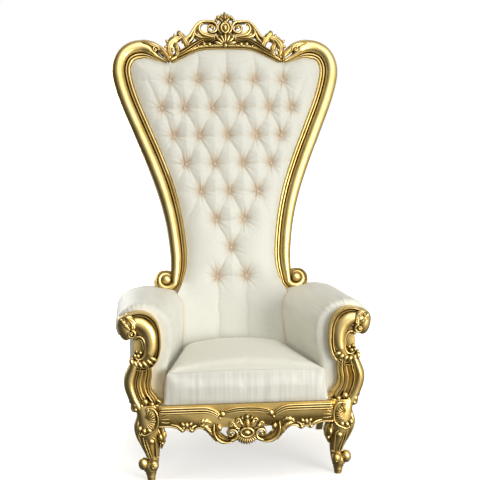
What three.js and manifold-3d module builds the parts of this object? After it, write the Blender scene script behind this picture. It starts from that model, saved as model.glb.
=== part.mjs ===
import * as THREE from "three";
import { mergeVertices } from "three/addons/utils/BufferGeometryUtils.js";
import Module from "manifold-3d";

const wasm = await Module();
wasm.setup();

// Throne, in millimetres. X runs to the right as seen from the front, Y to the back, Z up from the floor.
const GAP = 0.4;
const WELD = 0.02;
const SEAT_LINE = 305;
const CUSHION_TOP = 440;
const FRONT_PLANE_Y = -360;
const APRON_FACE_Y = -400;

// Raked back: every back piece is drawn flat, then leaned back as one.
const RAKE = THREE.MathUtils.degToRad(14);
const BACK_LINE_Y = -32;
const BACK_REAR = 38;
const PAD_REAR = 20;
const PAD_HALF_WIDTH_LOW = 206;
const PAD_BOTTOM = 325;

// Diamond tufting.
const BUTTON_TOP_ROW = 1557;
const BUTTON_ROW_STEP = 119.3;
const BUTTON_PITCH = 121;
const BUTTON_ROW_COUNTS = [5, 6, 5, 4, 3, 2, 1, 2];
const BUTTON_EDGE_CLEAR = 82;
const BUTTON_RADIUS = 8.5;
const TUFT_FLOOR = 5;
const TUFT_REACH = 42;
const PAD_EDGE_RISE = 7;
const PAD_CROWN = 30;
const PAD_CROWN_REACH = 45;

// Middle line of the right stile, from its waist up to the dip beside the crest: across, height, half width.
const STILE_LINE = [
  [222, 762, 32], [221, 832, 34], [236, 960, 35], [266, 1088, 37], [311, 1217, 38], [363, 1345, 38],
  [415, 1475, 38], [441, 1565, 39], [444, 1620, 39], [427, 1664, 39], [395, 1688, 40], [356, 1694, 40],
  [323, 1681, 28], [299, 1664, 17], [278, 1653, 11], [258, 1643, 8],
];
const STILE_VOLUTE = { x: 275, z: 713, from: 47, to: 15, halfFrom: 24, halfTo: 4.5, start: -165, sweep: 390 };

const gold = () => new THREE.MeshStandardMaterial({ color: 0xc79c48, roughness: 0.34, metalness: 0.9 });
const satin = () => new THREE.MeshStandardMaterial({ color: 0xe8e1d4, roughness: 0.5, metalness: 0 });
const lining = () => new THREE.MeshStandardMaterial({ color: 0xd8cfbf, roughness: 0.8, metalness: 0 });

// Skins rings that all hold the same number of points and closes both ends with a fan.
function loft(rings) {
  const count = rings[0].length;
  const corners = rings.flat();
  const faces = [];
  for (let r = 0; r + 1 < rings.length; r += 1) {
    for (let k = 0; k < count; k += 1) {
      const a = r * count + k;
      const b = r * count + ((k + 1) % count);
      faces.push(a, b, b + count, a, b + count, a + count);
    }
  }
  const middle = (ring) => ring.reduce((sum, p) => sum.add(p), new THREE.Vector3()).divideScalar(count);
  const first = corners.length;
  const lastRing = (rings.length - 1) * count;
  const ends = [middle(rings[0]), middle(rings[rings.length - 1])];
  for (let k = 0; k < count; k += 1) {
    const next = (k + 1) % count;
    faces.push(first, next, k);
    faces.push(first + 1, lastRing + k, lastRing + next);
  }
  const geometry = new THREE.BufferGeometry().setFromPoints([...corners, ...ends]);
  geometry.setIndex(faces);
  return outward(geometry);
}

// Turns every face round when the enclosed volume comes out negative.
function outward(geometry) {
  const place = geometry.getAttribute("position");
  const order = geometry.getIndex().array;
  const [a, b, c] = [new THREE.Vector3(), new THREE.Vector3(), new THREE.Vector3()];
  let volume = 0;
  for (let i = 0; i < order.length; i += 3) {
    a.fromBufferAttribute(place, order[i]);
    b.fromBufferAttribute(place, order[i + 1]);
    c.fromBufferAttribute(place, order[i + 2]);
    volume += a.dot(b.cross(c));
  }
  if (volume < 0) {
    geometry.setIndex(Array.from(order).reverse());
  }
  return geometry;
}

function bare(geometry) {
  const copy = geometry.clone();
  for (const name of Object.keys(copy.attributes)) {
    if (name !== "position") {
      copy.deleteAttribute(name);
    }
  }
  return mergeVertices(copy, 1e-4);
}

function solid(geometry) {
  const shape = bare(geometry);
  return new wasm.Manifold(new wasm.Mesh({
    numProp: 3,
    vertProperties: Float32Array.from(shape.getAttribute("position").array),
    triVerts: Uint32Array.from(shape.getIndex().array),
  }));
}

// Welds the corners that a cut leaves almost on top of each other and drops the faces that close up.
function surface(body) {
  const mesh = body.getMesh();
  const geometry = new THREE.BufferGeometry();
  geometry.setAttribute("position", new THREE.BufferAttribute(Float32Array.from(mesh.vertProperties), 3));
  geometry.setIndex(Array.from(mesh.triVerts));
  const welded = mergeVertices(geometry, WELD);
  const order = welded.getIndex().array;
  const kept = new Map();
  for (let i = 0; i < order.length; i += 3) {
    const face = [order[i], order[i + 1], order[i + 2]];
    const key = [...face].sort((a, b) => a - b).join(" ");
    if (new Set(face).size === 3 && !kept.delete(key)) {
      kept.set(key, face);
    }
  }
  welded.setIndex([...kept.values()].flat());
  return welded;
}

function mirrored(geometry) {
  const copy = bare(geometry);
  copy.applyMatrix4(new THREE.Matrix4().makeScale(-1, 1, 1));
  return outward(copy);
}

function bothSides(geometries) {
  return geometries.flatMap((geometry) => [geometry, mirrored(geometry)]);
}

function joined(geometries) {
  return geometries.map(solid).reduce((whole, piece) => whole.add(piece));
}

// Points along a smooth flat line; each point carries its half width as the third number.
function route(line, perStep) {
  const curve = new THREE.CatmullRomCurve3(line.map((p) => new THREE.Vector3(...p)));
  return curve.getPoints((line.length - 1) * perStep);
}

function spiral({ x, z, from, to, halfFrom, halfTo, start, sweep: turn }, steps) {
  return Array.from({ length: steps + 1 }, (_, i) => {
    const t = i / steps;
    const angle = THREE.MathUtils.degToRad(start + turn * t);
    const radius = THREE.MathUtils.lerp(from, to, t);
    const half = THREE.MathUtils.lerp(halfFrom, halfTo, t);
    return [x + radius * Math.cos(angle), z + radius * Math.sin(angle), half];
  });
}

// Runs a section along a flat route; section points are (across, out), out being towards the front.
function sweep(stations, section) {
  return loft(stations.map((station, i) => {
    const before = stations[Math.max(i - 1, 0)];
    const after = stations[Math.min(i + 1, stations.length - 1)];
    const along = new THREE.Vector2(after.x - before.x, after.y - before.y).normalize();
    return section(station.z).map(([across, out]) => new THREE.Vector3(
      station.x - along.y * across, -out, station.y + along.x * across));
  }));
}

// Half-round carved band standing on a flat back.
function roundBand(rise, back, facets = 3) {
  return (half) => {
    const height = Math.min(rise, half * 1.8);
    const crown = Array.from({ length: facets + 1 }, (_, k) => {
      const angle = (Math.PI * k) / facets;
      return [half * Math.cos(angle), height * Math.sin(angle)];
    });
    return [[half, -back], ...crown, [-half, -back]];
  };
}

// Shaped moulding: parts are (share of the half width, height out); grow moves every face outwards.
function moulding(parts, back, grow = 0) {
  return (half) => {
    const across = (share) => share * half + (Math.abs(share) === 1 ? share * grow : 0);
    const face = parts.map(([share, out]) => [across(share), Math.min(out, half * 1.6) + grow]);
    return [[across(-1), -back - grow], ...face, [across(1), -back - grow]];
  };
}

// Flattened ball, turned in the plane of the front: length runs up before turning.
function lobe([x, z, width, length, rise, turn, out], around = 6, along = 4) {
  const ball = new THREE.SphereGeometry(1, around, along);
  ball.rotateX(Math.PI / 2);
  ball.scale(width / 2, rise, length / 2);
  ball.rotateY(THREE.MathUtils.degToRad(turn));
  ball.translate(x, -out, z);
  return ball;
}

function box(x0, x1, y0, y1, z0, z1) {
  const block = new THREE.BoxGeometry(x1 - x0, y1 - y0, z1 - z0);
  return block.translate((x0 + x1) / 2, (y0 + y1) / 2, (z0 + z1) / 2);
}

// Prism standing on a flat outline of (across, height), from one depth to another.
function board(outline, front, rear) {
  const shape = new THREE.Shape(outline.map((p) => new THREE.Vector2(p.x, p.y)));
  const prism = new THREE.ExtrudeGeometry(shape, { depth: rear - front, bevelEnabled: false, steps: 1 });
  prism.rotateX(Math.PI / 2);
  return prism.translate(0, rear, 0);
}


// Right stile: waist, shoulder and the curl that rests on the arm.
const STILE_PARTS = [
  [-1, 2], [-0.82, 16], [-0.45, 24], [-0.08, 16], [0.1, 5], [0.66, 4], [0.8, 10], [1, 8],
];

const STILE_EYE = 36;
const STILE_EYE_OUT = 4;
const STILE_LEAF_RISE = 30;
const STILE_LEAF_SET = 4;
const STILE_LEAF = [[356, 1717, 8], [314, 1709, 13], [278, 1690, 12], [255, 1666, 9], [248, 1647, 7]];

// The same shapes a little larger all round are what cuts the pieces that rest against the stile.
function stileShapes(grow = 0) {
  const curl = spiral(STILE_VOLUTE, 12).reverse();
  const stations = [...curl.slice(0, -1), ...STILE_LINE].map((p) => new THREE.Vector3(...p));
  const leaf = STILE_LEAF.map(([x, z, half]) => [x, z, half + grow]);
  const eye = STILE_EYE + 2 * grow;
  return [
    sweep(stations, moulding(STILE_PARTS, BACK_REAR, grow)),
    lobe([STILE_VOLUTE.x, STILE_VOLUTE.z, eye, eye, eye / 2, 0, STILE_EYE_OUT], 8, 5),
    sweep(route(leaf, 1), roundBand(STILE_LEAF_RISE + grow, BACK_REAR - STILE_LEAF_SET + grow)),
  ];
}

// Crest: an arched rail under paired scrolls, with a shell, an oval jewel and a fleur on the middle line.
const CREST_BACK = 25;
const CREST_ARCH = [[0, 1707, 11.5], [55, 1706, 11.5], [105, 1702, 11.5], [148, 1688, 12], [190, 1669, 13],
  [230, 1647, 12]];
const CREST_SWAG = [[18, 1722, 9], [60, 1727, 11], [102, 1729, 13], [140, 1715, 15], [180, 1690, 15],
  [218, 1662, 11]];
const CREST_RISE = [[152, 1722, 12], [142, 1757, 15], [127, 1785, 14], [110, 1805, 12], [86, 1812, 11]];
const CREST_CURL = { x: 62, z: 1788, from: 22, to: 7, halfFrom: 9, halfTo: 5, start: 70, sweep: 330 };
const CREST_EAR = [[160, 1716, 9], [172, 1738, 11], [188, 1757, 11], [200, 1768, 8], [196, 1777, 4]];
const CREST_SIDE = [[190, 1754, 7], [222, 1738, 10], [241, 1716, 10], [245, 1688, 9], [236, 1662, 8]];
const CREST_STEM = { half: 14, out: 10, from: 1700, to: 1822 };
// Lobes are: across, height, width, length, rise, turn in degrees, how far out.
const CREST_SIDE_LOBES = [
  [28, 1837, 20, 20, 14, 0, 0], [34, 1746, 18, 18, 14, 0, 14], [14, 1829, 12, 34, 14, 50, 0],
];
const CREST_MIDDLE_LOBES = [
  [0, 1735, 84, 66, 30, 0, 0], [0, 1793, 26, 32, 24, 0, 8], [0, 1780, 40, 100, 18, 0, 0], [0, 1836, 18, 40, 16, 0, 0],
];

function crestSolid() {
  const curl = [...route(CREST_RISE, 1), ...spiral(CREST_CURL, 8).map((p) => new THREE.Vector3(...p))];
  const half = [
    sweep(route(CREST_ARCH, 1), roundBand(16, CREST_BACK)),
    sweep(route(CREST_SWAG, 1), roundBand(26, CREST_BACK)),
    sweep(curl, roundBand(24, CREST_BACK)),
    sweep(route(CREST_EAR, 1), roundBand(22, CREST_BACK)),
    sweep(route(CREST_SIDE, 1), roundBand(22, CREST_BACK)),
    ...CREST_SIDE_LOBES.map((row) => lobe(row)),
  ];
  const { half: stem, out, from, to } = CREST_STEM;
  const middle = [
    box(-stem, stem, -out, CREST_BACK, from, to),
    ...CREST_MIDDLE_LOBES.map((row) => lobe(row, 8, 5)),
  ];
  return joined([...middle, ...bothSides(half)]);
}

// One edge of a swept band, moved off it by an inset; side is 1 to the left of the route and -1 to the right.
function besideLine(line, side, inset) {
  return line.map(([x, z, half], i) => {
    const before = line[Math.max(i - 1, 0)];
    const after = line[Math.min(i + 1, line.length - 1)];
    const along = new THREE.Vector2(after[0] - before[0], after[1] - before[1]).normalize();
    const off = side * (half + inset);
    return new THREE.Vector2(x - along.y * off, z + along.x * off);
  });
}

// Outline of the upholstered back: up the inner edges of the stiles and along the crest's lower edge.
function backOutline(inset) {
  const edge = besideLine(STILE_LINE, 1, inset);
  const arch = besideLine(CREST_ARCH, -1, inset).reverse();
  arch[arch.length - 1].x = 0;
  const low = [
    new THREE.Vector2(PAD_HALF_WIDTH_LOW - inset, PAD_BOTTOM),
    new THREE.Vector2(PAD_HALF_WIDTH_LOW - inset, 650),
    new THREE.Vector2(PAD_HALF_WIDTH_LOW - 8 - inset, 715),
  ];
  const rightSide = [...low, ...edge, ...arch];
  const leftSide = rightSide.slice(0, -1).reverse().map((p) => new THREE.Vector2(-p.x, p.y));
  return [...rightSide, ...leftSide];
}

function distanceToOutline(outline, x, z) {
  const here = new THREE.Vector3(x, z, 0);
  const nearest = new THREE.Vector3();
  return Math.min(...outline.map((p, i) => {
    const next = outline[(i + 1) % outline.length];
    const side = new THREE.Line3(new THREE.Vector3(p.x, p.y, 0), new THREE.Vector3(next.x, next.y, 0));
    return side.closestPointToPoint(here, true, nearest).distanceTo(here);
  }));
}

function buttonPlaces() {
  return BUTTON_ROW_COUNTS.flatMap((count, row) => {
    const z = BUTTON_TOP_ROW - BUTTON_ROW_STEP * row;
    const limit = innerEdge(z) - BUTTON_EDGE_CLEAR;
    return Array.from({ length: count }, (_, i) => {
      const x = (i - (count - 1) / 2) * BUTTON_PITCH;
      return new THREE.Vector2(count > 2 ? THREE.MathUtils.clamp(x, -limit, limit) : x, z);
    });
  });
}

function innerEdge(z) {
  const above = STILE_LINE.findIndex((p) => p[1] >= z);
  const [x0, z0, half0] = STILE_LINE[Math.max(above - 1, 0)];
  const [x1, z1, half1] = STILE_LINE[above < 1 ? 1 : above];
  const t = (z - z0) / (z1 - z0);
  return THREE.MathUtils.lerp(x0 - half0, x1 - half1, t);
}

// Height of the tufted face: deep at the buttons, creased along the diamonds, rounded down at the frame.
function tuftRise(outline, buttons, x, z) {
  const here = new THREE.Vector2(x, z);
  const reach = Math.min(...buttons.map((b) => b.distanceTo(here)));
  const rows = (z - BUTTON_TOP_ROW) / (2 * BUTTON_ROW_STEP);
  const columns = x / BUTTON_PITCH;
  const pillow = Math.abs(Math.sin(Math.PI * (columns + rows)) * Math.sin(Math.PI * (columns - rows)));
  const inDiamonds = 1 - THREE.MathUtils.smoothstep(reach, 60, 100);
  const fold = THREE.MathUtils.lerp(1, 0.55 + 0.45 * Math.sqrt(pillow), inDiamonds);
  const edge = distanceToOutline(outline, x, z);
  const crown = PAD_EDGE_RISE + PAD_CROWN * (1 - Math.exp(-edge / PAD_CROWN_REACH));
  const pull = 1 - Math.exp(-((reach / TUFT_REACH) ** 2));
  return TUFT_FLOOR + (crown - TUFT_FLOOR) * pull * fold;
}

function padSolid(buttons) {
  const outline = backOutline(GAP);
  const columnStep = BUTTON_PITCH / 4;
  const rowStep = BUTTON_ROW_STEP / 2;
  const columns = 14;
  const top = 3;
  const bottom = -22;
  const plainTop = -16;
  const plainStep = 2;
  const rows = [];
  for (let r = bottom; r <= top; r += r < plainTop ? plainStep : 1) {
    const z = BUTTON_TOP_ROW + r * rowStep;
    const face = [];
    for (let c = -columns; c <= columns; c += 1) {
      const x = c * columnStep;
      face.push(new THREE.Vector3(x, -tuftRise(outline, buttons, x, z), z));
    }
    const rear = face.map((p) => new THREE.Vector3(p.x, PAD_REAR - GAP, z)).reverse();
    rows.push([...face, rear[0], rear[rear.length - 1]]);
  }
  const block = sheetBlock(rows, 2 * columns + 1);
  const offPitch = buttons.filter((place) => place.x % (BUTTON_PITCH / 2) !== 0);
  const seats = offPitch.map((place) => buttonShape(place, GAP));
  return solid(block).intersect(solid(board(outline, -200, PAD_REAR - GAP))).subtract(joined(seats));
}

// Block under a grid of face points; each row ends with its two rear corners.
function sheetBlock(rows, faceCount) {
  const count = faceCount + 2;
  const corners = rows.flat();
  const faces = [];
  for (let r = 0; r + 1 < rows.length; r += 1) {
    for (let k = 0; k < count; k += 1) {
      const a = r * count + k;
      const b = r * count + ((k + 1) % count);
      const flip = (r + k) % 2 === 0;
      const near = flip ? [a, b, b + count] : [a, b, a + count];
      const far = flip ? [a, b + count, a + count] : [b, b + count, a + count];
      faces.push(...near, ...far);
    }
  }
  const last = (rows.length - 1) * count;
  const rearCorner = faceCount + 1;
  for (let k = 0; k + 1 < count - 1; k += 1) {
    faces.push(rearCorner, k + 1, k);
    faces.push(last + rearCorner, last + k, last + k + 1);
  }
  const geometry = new THREE.BufferGeometry().setFromPoints(corners);
  geometry.setIndex(faces);
  return outward(geometry);
}

// Covered button: a low dome over a pointed underside that sits in its dimple.
function buttonShape(place, grow = 0) {
  const radius = BUTTON_RADIUS + grow;
  const profile = [[0, -2 * grow], [radius, radius * 0.95], [radius * 0.7, radius * 1.35], [0, radius * 1.55]];
  const turned = new THREE.LatheGeometry(profile.map(([r, h]) => new THREE.Vector2(r, h)), 6);
  turned.scale(1, -1, 1);
  const closed = outward(bare(turned));
  return closed.translate(place.x, -TUFT_FLOOR - 2 * GAP, place.y);
}

// Apron: a board with a shaped lower edge under a stepped moulding, with open scrolls round an oval.
const APRON_HALF = 328;
const APRON_REAR_Y = -378;
const APRON_EDGE = [
  [328, 226], [296, 224], [264, 214], [246, 205], [228, 212], [209, 202], [192, 214], [174, 221],
  [152, 206], [132, 204], [118, 212], [70, 212], [40, 202], [0, 198],
];
const APRON_MOULDING = [
  [0, 291, 7], [45, 289, 7], [82, 283, 7], [99, 278, 7], [116, 288, 7], [150, 295, 7], [327, 296, 7],
];
const APRON_SCROLL = [[124, 216, 8], [124, 194, 12], [111, 171, 13], [88, 159, 12]];
const APRON_CURL = { x: 59, z: 184, from: 24, to: 8, halfFrom: 10, halfTo: 5, start: -85, sweep: -320 };

const APRON_SIDE_LOBES = [
  [246, 212, 26, 22, 9, 0, 0], [209, 210, 26, 22, 9, 0, 0], [30, 150, 16, 46, 12, 28, 0], [28, 236, 22, 54, 12, -32, 0],
];
const APRON_MIDDLE_LOBES = [
  [0, 191, 62, 52, 22, 0, 0], [0, 152, 20, 54, 14, 0, 0], [0, 236, 26, 60, 16, 0, 0],
];
const APRON_CARVED_SET = 2;

function apronSolid() {
  const thick = APRON_REAR_Y - APRON_FACE_Y;
  const edge = APRON_EDGE.map((p) => new THREE.Vector2(...p));
  const outline = [
    new THREE.Vector2(-APRON_HALF, SEAT_LINE - GAP),
    new THREE.Vector2(APRON_HALF, SEAT_LINE - GAP),
    ...edge,
    ...edge.slice(0, -1).reverse().map((p) => new THREE.Vector2(-p.x, p.y)),
  ];
  const scroll = [...route(APRON_SCROLL, 1), ...spiral(APRON_CURL, 9).map((p) => new THREE.Vector3(...p))];
  const half = [
    sweep(route(APRON_MOULDING, 1), roundBand(9, thick - APRON_CARVED_SET)),
    sweep(scroll, roundBand(15, thick - APRON_CARVED_SET)),
    ...APRON_SIDE_LOBES.map((row) => lobe(row)),
  ];
  const middle = [board(outline, 0, thick), ...APRON_MIDDLE_LOBES.map((row) => lobe(row, 8, 5))];
  return joined([...middle, ...bothSides(half)].map((shape) => shape.translate(0, APRON_FACE_Y, 0)));
}

// Right front leg: height, middle across, half across, front and rear in depth, and how round the section is.
const LEG_RINGS = [
  [304.6, 379, 49, -386, -314, 3.2], [262, 376, 44, -392, -316, 3], [215, 376, 45, -394, -318, 2.2],
  [180, 375, 50, -390, -322, 1.7], [140, 369, 38, -384, -326, 1.5], [100, 361, 27, -378, -328, 1.5],
  [82, 362, 26, -378, -328, 1.8], [62, 371, 34, -386, -324, 2], [42, 370, 29, -384, -330, 2],
  [30, 368, 21, -378, -336, 2], [0, 367, 14, -374, -346, 2],
];
const LEG_BRACKET = [[342, 232, 16], [326, 202, 14], [318, 168, 10], [326, 122, 5]];

function superRing(z, x, half, front, rear, power, corners) {
  return Array.from({ length: corners }, (_, k) => {
    const angle = (2 * Math.PI * k) / corners;
    const [c, s] = [Math.cos(angle), Math.sin(angle)];
    const size = (Math.abs(c) ** power + Math.abs(s) ** power) ** (-1 / power);
    return new THREE.Vector3(x + half * size * c, (front + rear) / 2 + ((rear - front) / 2) * size * s, z);
  });
}

const LEG_LOBES = [
  [370, 240, 74, 116, 14, 0, 30], [420, 292, 26, 26, 16, 0, 22], [397, 58, 34, 32, 17, 0, 14], [348, 60, 30, 30, 16, 0, 14],
];
const LEG_CORNERS = 12;
const LEG_TOP_LOW = 220;

function frontLegSolid() {
  const leg = loft(LEG_RINGS.map(([z, ...ring]) => superRing(z, ...ring, LEG_CORNERS)));
  const carved = [
    ...LEG_LOBES.map((row) => lobe(row, 8, 5)),
    sweep(route(LEG_BRACKET, 1), roundBand(26, 8)),
  ];
  const shapes = [leg, ...carved.map((shape) => shape.translate(0, FRONT_PLANE_Y, 0))];
  const rail = solid(box(0, APRON_HALF + GAP, -500, -300, LEG_TOP_LOW, 320));
  const above = solid(box(0, 500, -500, -300, SEAT_LINE - GAP, 400));
  return joined(shapes).subtract(rail).subtract(above);
}

// Right arm front: a rimmed scroll that turns over outwards, a collar and a fluted belly.
const ARM_SCROLL = [
  [442, 573, 8], [458, 573, 12], [470, 592, 15], [467, 614, 18], [451, 632, 21], [424, 642, 24.5], [392, 638, 28],
  [367, 617, 29.5], [354, 585, 30], [352, 548, 30], [357, 515, 28], [368, 487, 26], [388, 462, 24],
];
const ARM_PARTS = [[-1, 14], [-0.9, 19], [-0.76, 17], [-0.7, 9], [-0.3, 14], [0.3, 19], [0.8, 12], [1, 4]];
const ARM_BELLY = [[404, 460, 42], [408, 430, 49], [416, 390, 52], [406, 345, 49], [384, 305, 54]];
const BELLY_PARTS = [
  [-1, 2], [-0.8, 16], [-0.42, 20], [-0.3, 14], [-0.1, 22], [0.2, 22], [0.32, 14], [0.5, 20], [0.85, 15], [1, 2],
];
const ARM_COLLAR = [
  [354, 474, 7], [368, 460, 10], [390, 451, 11], [416, 451, 11], [438, 462, 10], [450, 476, 7],
];
const ARM_INNER = [[406, 572, 4], [391, 556, 6], [384, 530, 8], [387, 506, 8], [400, 492, 6]];
const ARM_EYE = [446, 590, 34, 34, 22, 0, 0];
const ARM_FRONT_REAR = 23;

function armFrontSolid() {
  const parts = [
    sweep(route(ARM_SCROLL, 1), moulding(ARM_PARTS, ARM_FRONT_REAR)),
    sweep(route(ARM_BELLY, 1), moulding(BELLY_PARTS, ARM_FRONT_REAR)),
    sweep(route(ARM_COLLAR, 1), roundBand(28, ARM_FRONT_REAR, 4)),
    sweep(route(ARM_INNER, 1), roundBand(22, ARM_FRONT_REAR)),
    lobe(ARM_EYE, 8, 5),
  ];
  const below = solid(box(0, 600, -600, 0, 200, SEAT_LINE + GAP));
  return joined(parts.map((shape) => shape.translate(0, FRONT_PLANE_Y, 0))).subtract(below);
}

// Right arm pad: the section at its front and the same section where it meets the raked back.
const ARM_PAD_FRONT = [[303, 305.4], [301, 440], [284, 505], [277, 560], [288, 622], [328, 668], [388, 692],
  [440, 685], [480, 652], [495, 606], [485, 572], [456, 556], [438, 534], [437, 305.4]];
const ARM_PAD_REAR = [[213, 305.4], [213, 440], [210, 505], [210, 560], [216, 615], [244, 650], [310, 664],
  [385, 664], [445, 642], [478, 600], [472, 568], [450, 552], [434, 532], [433, 305.4]];
const ARM_PAD_FRONT_Y = -336;
const ARM_PAD_NECK = { from: 11, depth: 37, share: 0.36 };

function armPadSolid(stileInPlace) {
  const stations = 7;
  const rings = Array.from({ length: stations + 1 }, (_, i) => {
    const t = i / stations;
    return ARM_PAD_FRONT.map(([x0, z0], k) => {
      const [x1, z1] = ARM_PAD_REAR[k];
      const ease = THREE.MathUtils.lerp(t, t * t, 0.4);
      const neck = k < ARM_PAD_NECK.from ? 0 : ARM_PAD_NECK.depth * Math.max(0, 1 - t / ARM_PAD_NECK.share);
      const x = THREE.MathUtils.lerp(x0, x1, ease) - neck;
      const z = THREE.MathUtils.lerp(z0, z1, t);
      const rearY = BACK_LINE_Y + Math.tan(RAKE) * z + (BACK_REAR - 1) / Math.cos(RAKE);
      return new THREE.Vector3(x, THREE.MathUtils.lerp(ARM_PAD_FRONT_Y, rearY, t), z);
    });
  });
  return solid(loft(rings)).subtract(stileInPlace);
}

// Seat cushion: height, half width at the front, front edge in depth.
const CUSHION_RINGS = [[SEAT_LINE + GAP, 306, -388], [322, 312, -398], [370, 307, -403], [418, 301, -400],
  [434, 297, -394], [CUSHION_TOP, 280, -380]];
const CUSHION_REAR_HALF = 211;
const CUSHION_CORNER = 34;

function cushionShape() {
  return loft(CUSHION_RINGS.map(([z, half, front]) => {
    const inset = 301 - Math.min(half, 301);
    const rear = BACK_LINE_Y + Math.tan(RAKE) * z - 36;
    const side = Math.min(half, 300);
    const slope = (CUSHION_REAR_HALF - inset - side) / (rear - ARM_PAD_FRONT_Y);
    const rightSide = [
      new THREE.Vector3(0, front - 4, z),
      new THREE.Vector3(half * 0.5, front - 2, z),
      new THREE.Vector3(half - CUSHION_CORNER, front + 2, z),
      new THREE.Vector3(half - 8, front + 12, z),
      new THREE.Vector3(half, front + 34, z),
      new THREE.Vector3(side, ARM_PAD_FRONT_Y - 2, z),
      new THREE.Vector3(side + slope * 200, ARM_PAD_FRONT_Y + 200, z),
      new THREE.Vector3(CUSHION_REAR_HALF - inset, rear - inset - 4, z),
      new THREE.Vector3(CUSHION_REAR_HALF - inset - 12, rear - inset, z),
    ];
    const leftSide = rightSide.slice(1).reverse().map((p) => new THREE.Vector3(-p.x, p.y, p.z));
    return [...rightSide, ...leftSide];
  }));
}

// Seat deck between the rails, notched round the front legs.
const DECK_THICK = 14;
const DECK_REAR_Y = 43;
const SIDE_RAIL_X = [384, 412];
const SIDE_RAIL_Y = [-313, 43];
const RAIL_BOTTOM = 232;

function deckShape() {
  const [inner] = SIDE_RAIL_X;
  const half = [[APRON_HALF - 1, APRON_REAR_Y + GAP], [APRON_HALF - 1, SIDE_RAIL_Y[0] + GAP],
    [inner - GAP, SIDE_RAIL_Y[0] + GAP], [inner - GAP, DECK_REAR_Y]];
  const outline = [...half, ...half.map(([x, y]) => [-x, y]).reverse()];
  const shape = new THREE.Shape(outline.map((p) => new THREE.Vector2(...p)));
  const plate = new THREE.ExtrudeGeometry(shape, { depth: DECK_THICK, bevelEnabled: false, steps: 1 });
  return plate.translate(0, 0, SEAT_LINE - GAP - DECK_THICK);
}

function sideRailShape() {
  return box(...SIDE_RAIL_X, ...SIDE_RAIL_Y, RAIL_BOTTOM, SEAT_LINE - GAP);
}

// Right back leg: a plain sabre leg; height, front and rear in depth, half across.
const BACK_LEG_X = 390;
const BACK_LEG_RINGS = [[SEAT_LINE - GAP, 44, 84, 18], [225, 50, 88, 18], [150, 78, 110, 16], [80, 118, 144, 14.5],
  [30, 156, 180, 14], [0, 180, 206, 14]];
const BACK_RAIL_Y = [44, 70];

function backLegShape() {
  return loft(BACK_LEG_RINGS.map(([z, front, rear, half]) => [
    new THREE.Vector3(BACK_LEG_X - half, front, z),
    new THREE.Vector3(BACK_LEG_X + half, front, z),
    new THREE.Vector3(BACK_LEG_X + half, rear, z),
    new THREE.Vector3(BACK_LEG_X - half, rear, z),
  ]));
}

function backRailShape() {
  const half = BACK_LEG_X - BACK_LEG_RINGS[0][3] - GAP;
  return box(-half, half, ...BACK_RAIL_Y, RAIL_BOTTOM, SEAT_LINE - GAP);
}

function leaned(geometry) {
  return bare(geometry).rotateX(-RAKE).translate(0, BACK_LINE_Y, 0);
}

function named(name, geometry, material) {
  const mesh = new THREE.Mesh(geometry, material);
  mesh.name = name;
  return mesh;
}

// A right piece and its twin on the left.
function pair(name, geometry, material) {
  const twin = named(`${name}_left`, geometry, material());
  twin.scale.x = -1;
  return [named(`${name}_right`, geometry, material()), twin];
}

const stile = joined(stileShapes());
const stileCutters = stileShapes(GAP);
const buttons = buttonPlaces();
const crest = crestSolid().subtract(joined(bothSides(stileCutters)));

const back = new THREE.Group();
back.name = "raked_back";
back.position.set(0, BACK_LINE_Y, 0);
back.rotation.x = -RAKE;
back.add(
  ...pair("back_stile", surface(stile), gold),
  named("crest_rail", surface(crest), gold()),
  named("back_pad", surface(padSolid(buttons)), satin()),
  named("outside_back", surface(solid(board(backOutline(2 * GAP), PAD_REAR, BACK_REAR))), lining()),
  ...buttons.map((place, i) => named(`button_${String(i + 1).padStart(2, "0")}`, buttonShape(place), satin())),
);

const seat = new THREE.Group();
seat.name = "seat_and_arms";
seat.add(
  named("front_rail", surface(apronSolid()), gold()),
  named("back_rail", backRailShape(), gold()),
  named("seat_deck", deckShape(), lining()),
  named("seat_cushion", cushionShape(), satin()),
  ...pair("side_rail", sideRailShape(), gold),
  ...pair("front_leg", surface(frontLegSolid()), gold),
  ...pair("back_leg", backLegShape(), gold),
  ...pair("arm_front", surface(armFrontSolid()), gold),
  ...pair("arm_pad", surface(armPadSolid(joined(stileCutters.map(leaned)))), satin),
);

const throne = new THREE.Group();
throne.name = "throne";
const centred = new THREE.Group();
centred.name = "centred";
centred.add(back, seat);
const extent = new THREE.Box3().setFromObject(centred, true);
centred.position.y = -(extent.min.y + extent.max.y) / 2;
throne.add(centred);
export default throne;
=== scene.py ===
"""Looks of a gilded, button-tufted high-back throne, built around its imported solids."""

import logging
import math
from contextlib import contextmanager
from dataclasses import dataclass
from enum import Enum
from functools import lru_cache
from typing import Any, Callable, Dict, Iterator, List, Optional, Sequence, Tuple, Union

import bpy
import numpy as np
from mathutils import Matrix, Vector
from mathutils.bvhtree import BVHTree


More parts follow.
